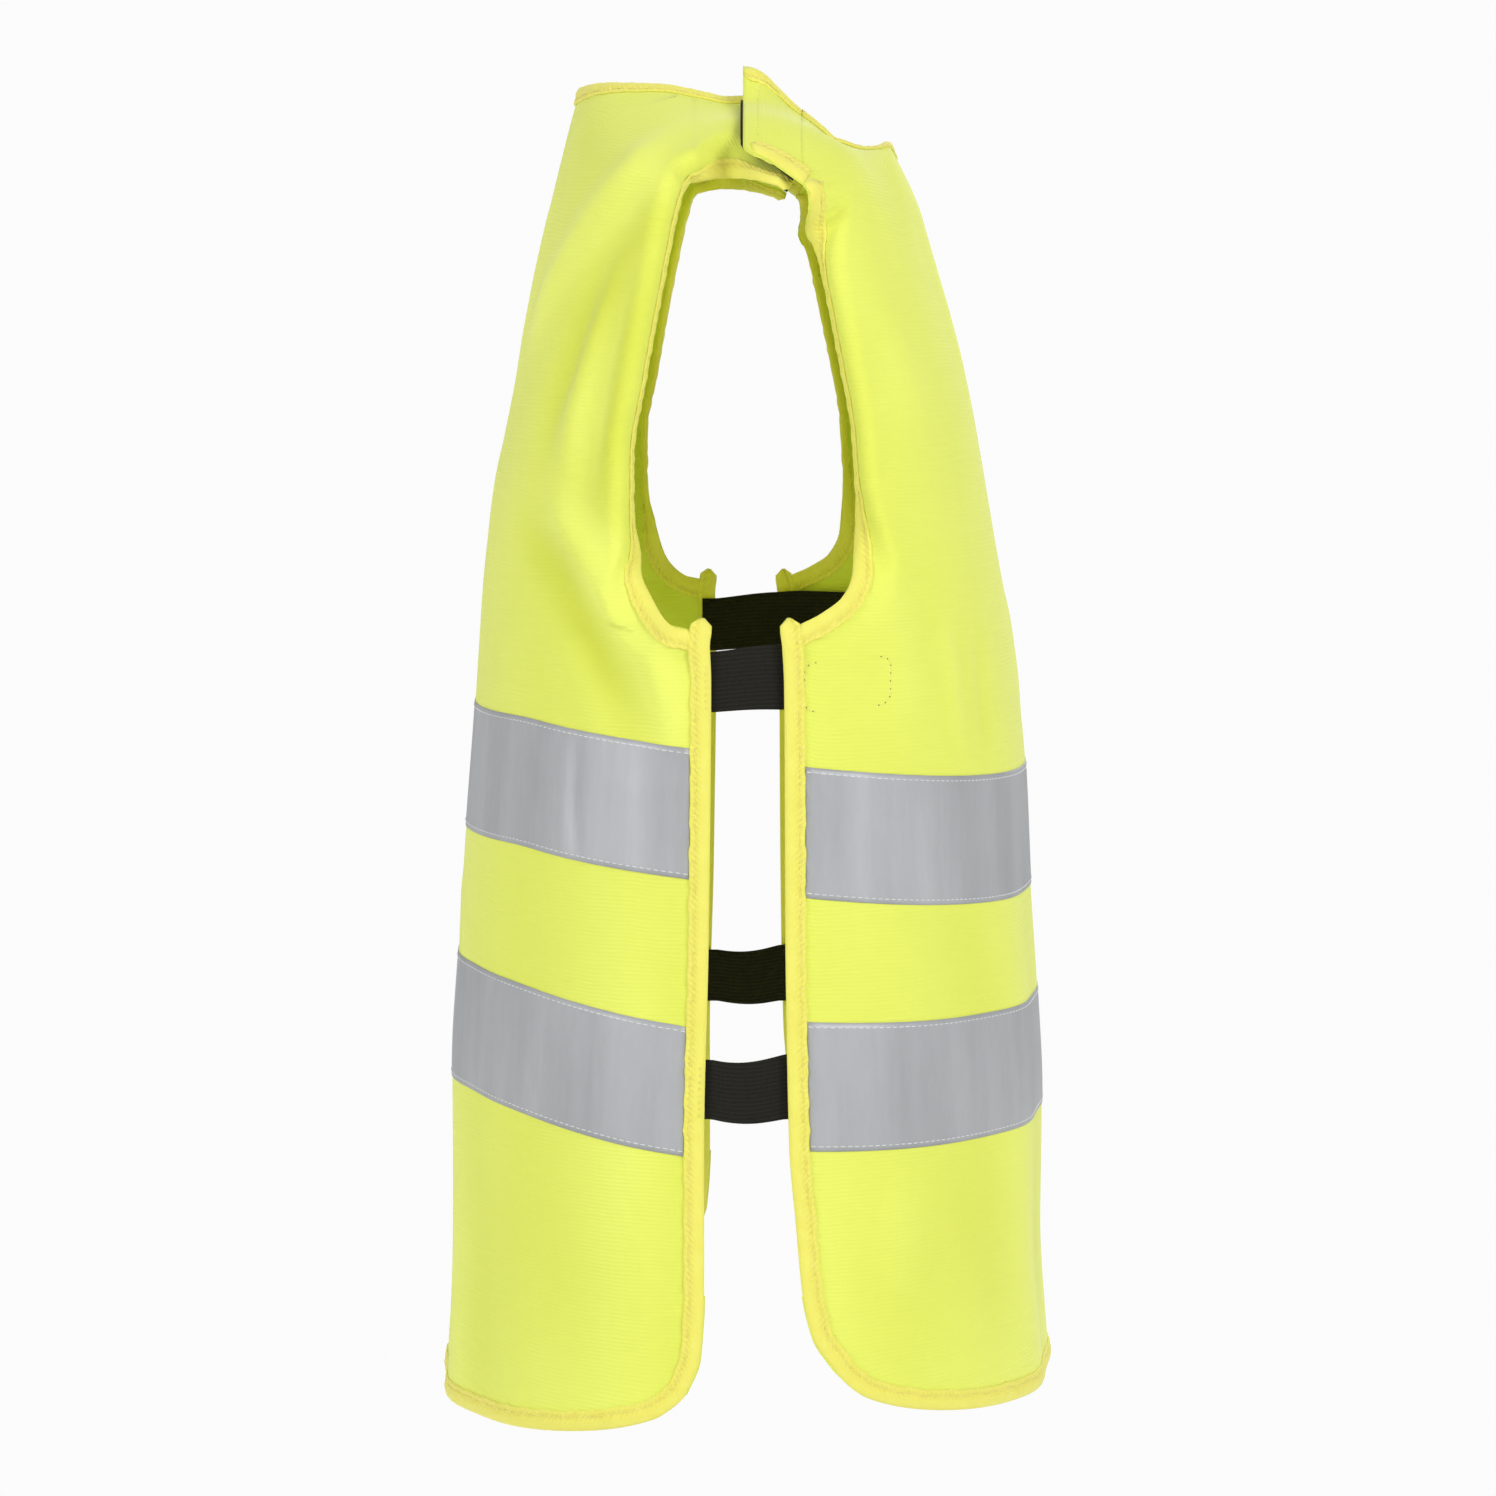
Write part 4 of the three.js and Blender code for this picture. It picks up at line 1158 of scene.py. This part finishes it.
def build_flap(side_name, sign):
    """A shoulder flap with its two bindings, its seams and its fastener's two strips."""
    body = side_name + "_flap"
    crossing = {"start": (sign * 0.1, -0.0225, 0.51), "end": (sign * 0.1, -0.0155, 0.513)}
    across = np.concatenate([np.linspace(0, 0.87, 30), np.linspace(0.87, 1, 9)[1:]])
    back = np.concatenate([[-0.05, -0.008, -0.004, -0.002], np.linspace(0, 1, 13)[1:]])
    tucked = np.interp(back, [-0.05, -0.004], [-0.75, 0])[:, None]
    grid = on_side(sign, flap_points(across[None, :], back[:, None]))
    middle, normal = flap_cloth(FRONT, grid, tucked)
    uv = cloth_uv(np.swapaxes(grid, 0, 1), 0)
    uv = np.swapaxes(uv, 0, 1)[..., ::-1] + [300, 540]
    under = np.where(back > FLAP_HEM_FROM, -1.1, -CLOTH)[:, None]
    # painted shade, deeper in the hollows of the folds
    shade = painted_fold_shade(grid)
    full = "shoulder_flap_" + side_name
    piece = sheet(full, middle, normal, under, CLOTH, KNIT, uv, None, shade)
    follow(piece, body, [full], crossing)

    def flap_inside(p):
        return np.broadcast_to([sign * 100.0, -8.0, 512.0], p.shape)

    seams = []
    t = np.linspace(0, 1, 14)
    past = np.concatenate([0 * t + 1, [0.995, 0.985]])
    edges = {"neck": flap_points(0 * t, t), "armhole": flap_points(past, np.append(t, [1, 1]))}
    for which, edge in edges.items():
        full = f"shoulder_flap_{which}_binding_{side_name}"
        piece, rows = binding(full, FRONT, on_side(sign, edge), flap_inside, 53 + sign, None,
                              (0, 2), flap_cloth)
        follow(piece, body, [full], crossing)
        seams += rows
    line = on_side(sign, flap_points(np.linspace(0.12, 0.86, 30), np.full(30, SEAM_BACK)))
    seam, out = flap_cloth(FRONT, line, CLOTH + 0.05)
    seams.append(stitch_row(seam, out, "flap"))
    piece = sew(f"shoulder_flap_stitching_{side_name}", seams, YELLOW_THREAD)
    follow(piece, body, crossing=crossing)

    fastener_strip("shoulder_loop_strip_" + side_name, sign, 127, 5, (-14.5, 3.0), (0.36, 1.3), "back")
    fastener_strip("shoulder_hook_strip_" + side_name, sign, 135.4, FLAP_TAPER, (-16.5, 2.9),
                   (1.5, 2.6), body)


def fastener_strip(full, sign, end_x, taper, span_y, heights, body):
    """A strip of the shoulder's fastener: loops on the tab, or hooks under the flap."""
    u = np.linspace(0, 1, 34)[None, :]
    v = np.linspace(0, 1, 10)[:, None]
    y = mix(*span_y, v) + 0 * u
    outer_x = end_x - taper * narrowing(y)
    x = mix(neck_x(y) + 10.5, outer_x, u)
    past = np.clip(x - (outer_x - STRIP_CORNER), 0, STRIP_CORNER)
    y = y - (STRIP_CORNER - np.sqrt(np.maximum(STRIP_CORNER**2 - past**2, 0))) * v
    grid = on_side(sign, on_shoulder(x, y))
    n = outward(grid)
    middle = grid + n * fold(grid)[..., None]
    sink, droop = settle(grid)
    middle[..., 2] += sink - (TAB_DROOP * droop if body == "back" else 0)
    piece = sheet(full, middle, n, *heights, FASTENER, grid[..., :2])
    follow(piece, body, [full])


for side_name, sign in SIDES.items():
    build_flap(side_name, sign)


# ---- the side straps ----
STRAPS = {"upper": (300.0, 297.0), "lower": (144.0, 145.0)}  # heights of the strap and its patch
STRAP_RISE = {"upper": 2.2, "lower": 1.3}  # how far a strap's hidden end lies over its sewn end
STRAP_SAG = {"upper": 0.6, "lower": -1.6}  # how far its open middle is pulled up
WEBBING = 0.45  # half the thickness of the elastic
PAD_CORNER = 4.0


def flank(y, z):
    """Places on the left side edges, the front panel's where y is under 0."""
    y, z = np.broadcast_arrays(np.asarray(y, float), np.asarray(z, float))
    front = FRONT.side_point(np.abs(y), z)
    back = BACK.side_point(np.abs(y), z)
    return np.where((y < 0)[..., None], front, back)


def rounded_pad(full, sign, y_from, y_to, z, width, heights, body):
    """A flat piece of the fastener with round corners."""
    edge = PAD_CORNER * (1 - np.cos(np.linspace(0, np.pi / 2, 7)))
    y = np.concatenate([y_from + edge,
                        np.linspace(y_from + PAD_CORNER, y_to - PAD_CORNER, 12)[1:-1],
                        (y_to - edge)[::-1]])
    near = np.clip(np.minimum(np.abs(y - y_from), np.abs(y_to - y)) / PAD_CORNER, 0, 1)
    half = width / 2 - PAD_CORNER * (1 - np.sqrt(1 - (1 - near) ** 2))
    v = np.linspace(-1, 1, 12)[None, :]
    grid = on_side(sign, flank(y[:, None] + 0 * v, z + v * half[:, None]))
    n = outward(grid)
    middle = grid + n * fold(grid)[..., None]
    piece = sheet(full, middle, n, *heights, FASTENER, grid[..., 1:])
    follow(piece, body, [full])


def elastic_strap(side_name, sign, which, hidden_end, sewn_y, z):
    """A ribbed elastic strap from inside the front panel to the back panel's edge."""
    full = f"elastic_strap_{side_name}_{which}"
    y = np.linspace(hidden_end, sewn_y + 7, 44)[:, None]
    v = np.linspace(-1, 1, 33)[None, :]
    open_part = ease((y + 25) / 40)
    wide = mix(12.7, 11.5, open_part)
    sag = STRAP_SAG[which] * np.sin(np.pi * np.clip((y + 14) / 28, 0, 1))
    centre = z + mix(STRAP_RISE[which], -0.1, open_part) + sag
    grid = on_side(sign, flank(y + 0 * v, centre + wide * v))
    n = outward(grid)
    depth = mix(-3.3, -2.4, ease((y + 10) / (sewn_y + 10)))
    shallow = 0.25 * np.sin(np.pi * np.clip((y + 13) / 27, 0, 1)) * (1 - v**2)
    tuck = ease((y + 14) / 8) * ease((sewn_y - y) / 8)
    middle = grid + n * (depth + shallow + fold(grid) * (1 - tuck))[..., None]
    uv = np.stack([y + 0 * v, wide * v + 0 * y], -1)
    rib = 0.09 * np.cos(np.pi * 15 * v)
    half = WEBBING * (1 - 0.35 * np.abs(v) ** 8)
    piece = sheet(full, middle, n, -half - rib, half + rib, ELASTIC, uv)
    turn = {"start": (sign * 0.148, (sewn_y - 1.5) / 1000, z / 1000),
            "end": (sign * 0.148, (sewn_y - 18) / 1000, z / 1000)}
    follow(piece, f"{side_name}_{which}_strap", [full], turn)


def patch_seam(suffix, sign, patch_from, patch_z):
    """The seam that holds a loop patch, a rounded rectangle through the front panel."""
    half_w, half_h, r = 16.2, 9.2, 4
    turns = np.linspace(0, 2 * np.pi, 73)
    across = np.sign(np.cos(turns)) * (half_w - r) + r * np.cos(turns)
    up = np.sign(np.sin(turns)) * (half_h - r) + r * np.sin(turns)
    ring = on_side(sign, flank(patch_from - 13.4 + across, patch_z + 1.8 + up - 0.06 * across))
    out = outward(ring)
    seam = ring + out * (fold(ring) + CLOTH)[:, None]
    piece = sew("strap_patch_stitching_" + suffix, [stitch_row(seam, out, "patch")], YELLOW_THREAD)
    follow(piece, "front")
    marks = [stitch_row(seam, out, "needle_mark", 1.5)]
    piece = sew("strap_patch_needle_marks_" + suffix, marks, DARK_THREAD)
    follow(piece, "front")


def build_strap(side_name, sign, which):
    """An elastic strap with its hook tab, its loop patch and the seams that hold them."""
    suffix = f"{side_name}_{which}"
    z, patch_z = STRAPS[which]
    sewn_y = float(BACK.side_y(z))
    patch_from = -(float(FRONT.side_y(z)) + UNDER_LEAF)
    hidden_end = patch_from - 35
    elastic_strap(side_name, sign, which, hidden_end, sewn_y, z)
    rounded_pad("strap_loop_patch_" + suffix, sign, patch_from - 34, patch_from, patch_z, 21,
                (-1.25, -CLOTH - 0.06), "front")
    rounded_pad("strap_hook_tab_" + suffix, sign, hidden_end + 1, hidden_end + 31,
                (z + patch_z) / 2, 19, (-2.5, -1.35), suffix + "_strap")

    # the strap's sewn end, on the back panel's side binding
    heights = np.linspace(z - 11, z + 11, 20)
    line = on_side(sign, BACK.side_point(BACK.side_y(heights) + 2.2, heights))
    out = outward(line)
    seam = line + out * (fold(line) + 1.62)[:, None]
    piece = sew("strap_end_stitching_" + suffix, [stitch_row(seam, out, "strap_end")], YELLOW_THREAD)
    follow(piece, "back")
    if which == "upper":
        patch_seam(suffix, sign, patch_from, patch_z)


for side_name, sign in SIDES.items():
    for which in STRAPS:
        build_strap(side_name, sign, which)


# ---- floor, light and camera ----
PAPER_LIGHT = 0.97  # how bright the paper looks to the camera


def soft_light(name, place, size, power):
    """A round soft lamp, turned to the vest."""
    data = bpy.data.lights.new(name, "AREA")
    data.shape = "DISK"
    data.size = size
    data.energy = power
    light = bpy.data.objects.new(name, data)
    light.location = place
    aim = Vector((0, 0, 0.3)) - Vector(place)
    light.rotation_euler = aim.to_track_quat("-Z", "Y").to_euler()
    bpy.context.scene.collection.objects.link(light)


def paper():
    """A floor and surround that the camera sees as one even white, and that light the vest softly."""
    bpy.ops.mesh.primitive_plane_add(size=30, location=(0, 0, -0.3))
    floor = bpy.context.object
    floor.name = "floor"
    p = Paint("floor_paper", rgb(0.9, 0.9, 0.9), 0.9)
    floor.data.materials.append(p.material)
    glow = p.new("ShaderNodeEmission")
    glow.inputs["Strength"].default_value = PAPER_LIGHT
    both = p.new("ShaderNodeMixShader")
    p.put(both.inputs[0], p.new("ShaderNodeLightPath").outputs["Is Camera Ray"])
    p.put(both.inputs[1], p.shader.outputs[0])
    p.put(both.inputs[2], glow.outputs[0])
    p.put(p.tree.nodes["Material Output"].inputs["Surface"], both.outputs[0])

    world = bpy.context.scene.world or bpy.data.worlds.new("studio")
    bpy.context.scene.world = world
    world.use_nodes = True
    surround = world.node_tree.nodes["Background"]
    surround.inputs["Color"].default_value = (1, 1, 1, 1)
    n = Nodes(world.node_tree)
    parts = n.new("ShaderNodeSeparateXYZ")
    n.put(parts.inputs[0], n.new("ShaderNodeTexCoord").outputs["Generated"])
    level = n.times_plus(parts.outputs[2], 0.05, n.times_plus(parts.outputs[1], 0.06, 0.50))
    strength = n.new("ShaderNodeMix", data_type="FLOAT")
    n.put(strength.inputs[0], n.new("ShaderNodeLightPath").outputs["Is Camera Ray"])
    n.put(strength.inputs[2], level)
    strength.inputs[3].default_value = PAPER_LIGHT
    n.put(surround.inputs["Strength"], strength.outputs[0])


def camera():
    """A long lens at the wearer's right, a little above the middle of the vest."""
    data = bpy.data.cameras.new("camera")
    data.lens = 113.3
    data.sensor_width = 36
    eye = bpy.data.objects.new("camera", data)
    eye.location = (-1.92, -0.001, 0.457)
    aim = Vector((0, -0.001, 0.262)) - eye.location
    eye.rotation_euler = aim.to_track_quat("-Z", "Y").to_euler()
    bpy.context.scene.collection.objects.link(eye)
    bpy.context.scene.camera = eye
    bpy.context.scene.view_settings.view_transform = "Standard"


paper()
soft_light("key", (-1.7, -1.5, 1.5), 1.1, 29)
soft_light("fill", (-1.7, 2.0, 1.1), 1.0, 21)
soft_light("far_fill", (2.0, -0.4, 1.2), 1.4, 18)
camera()
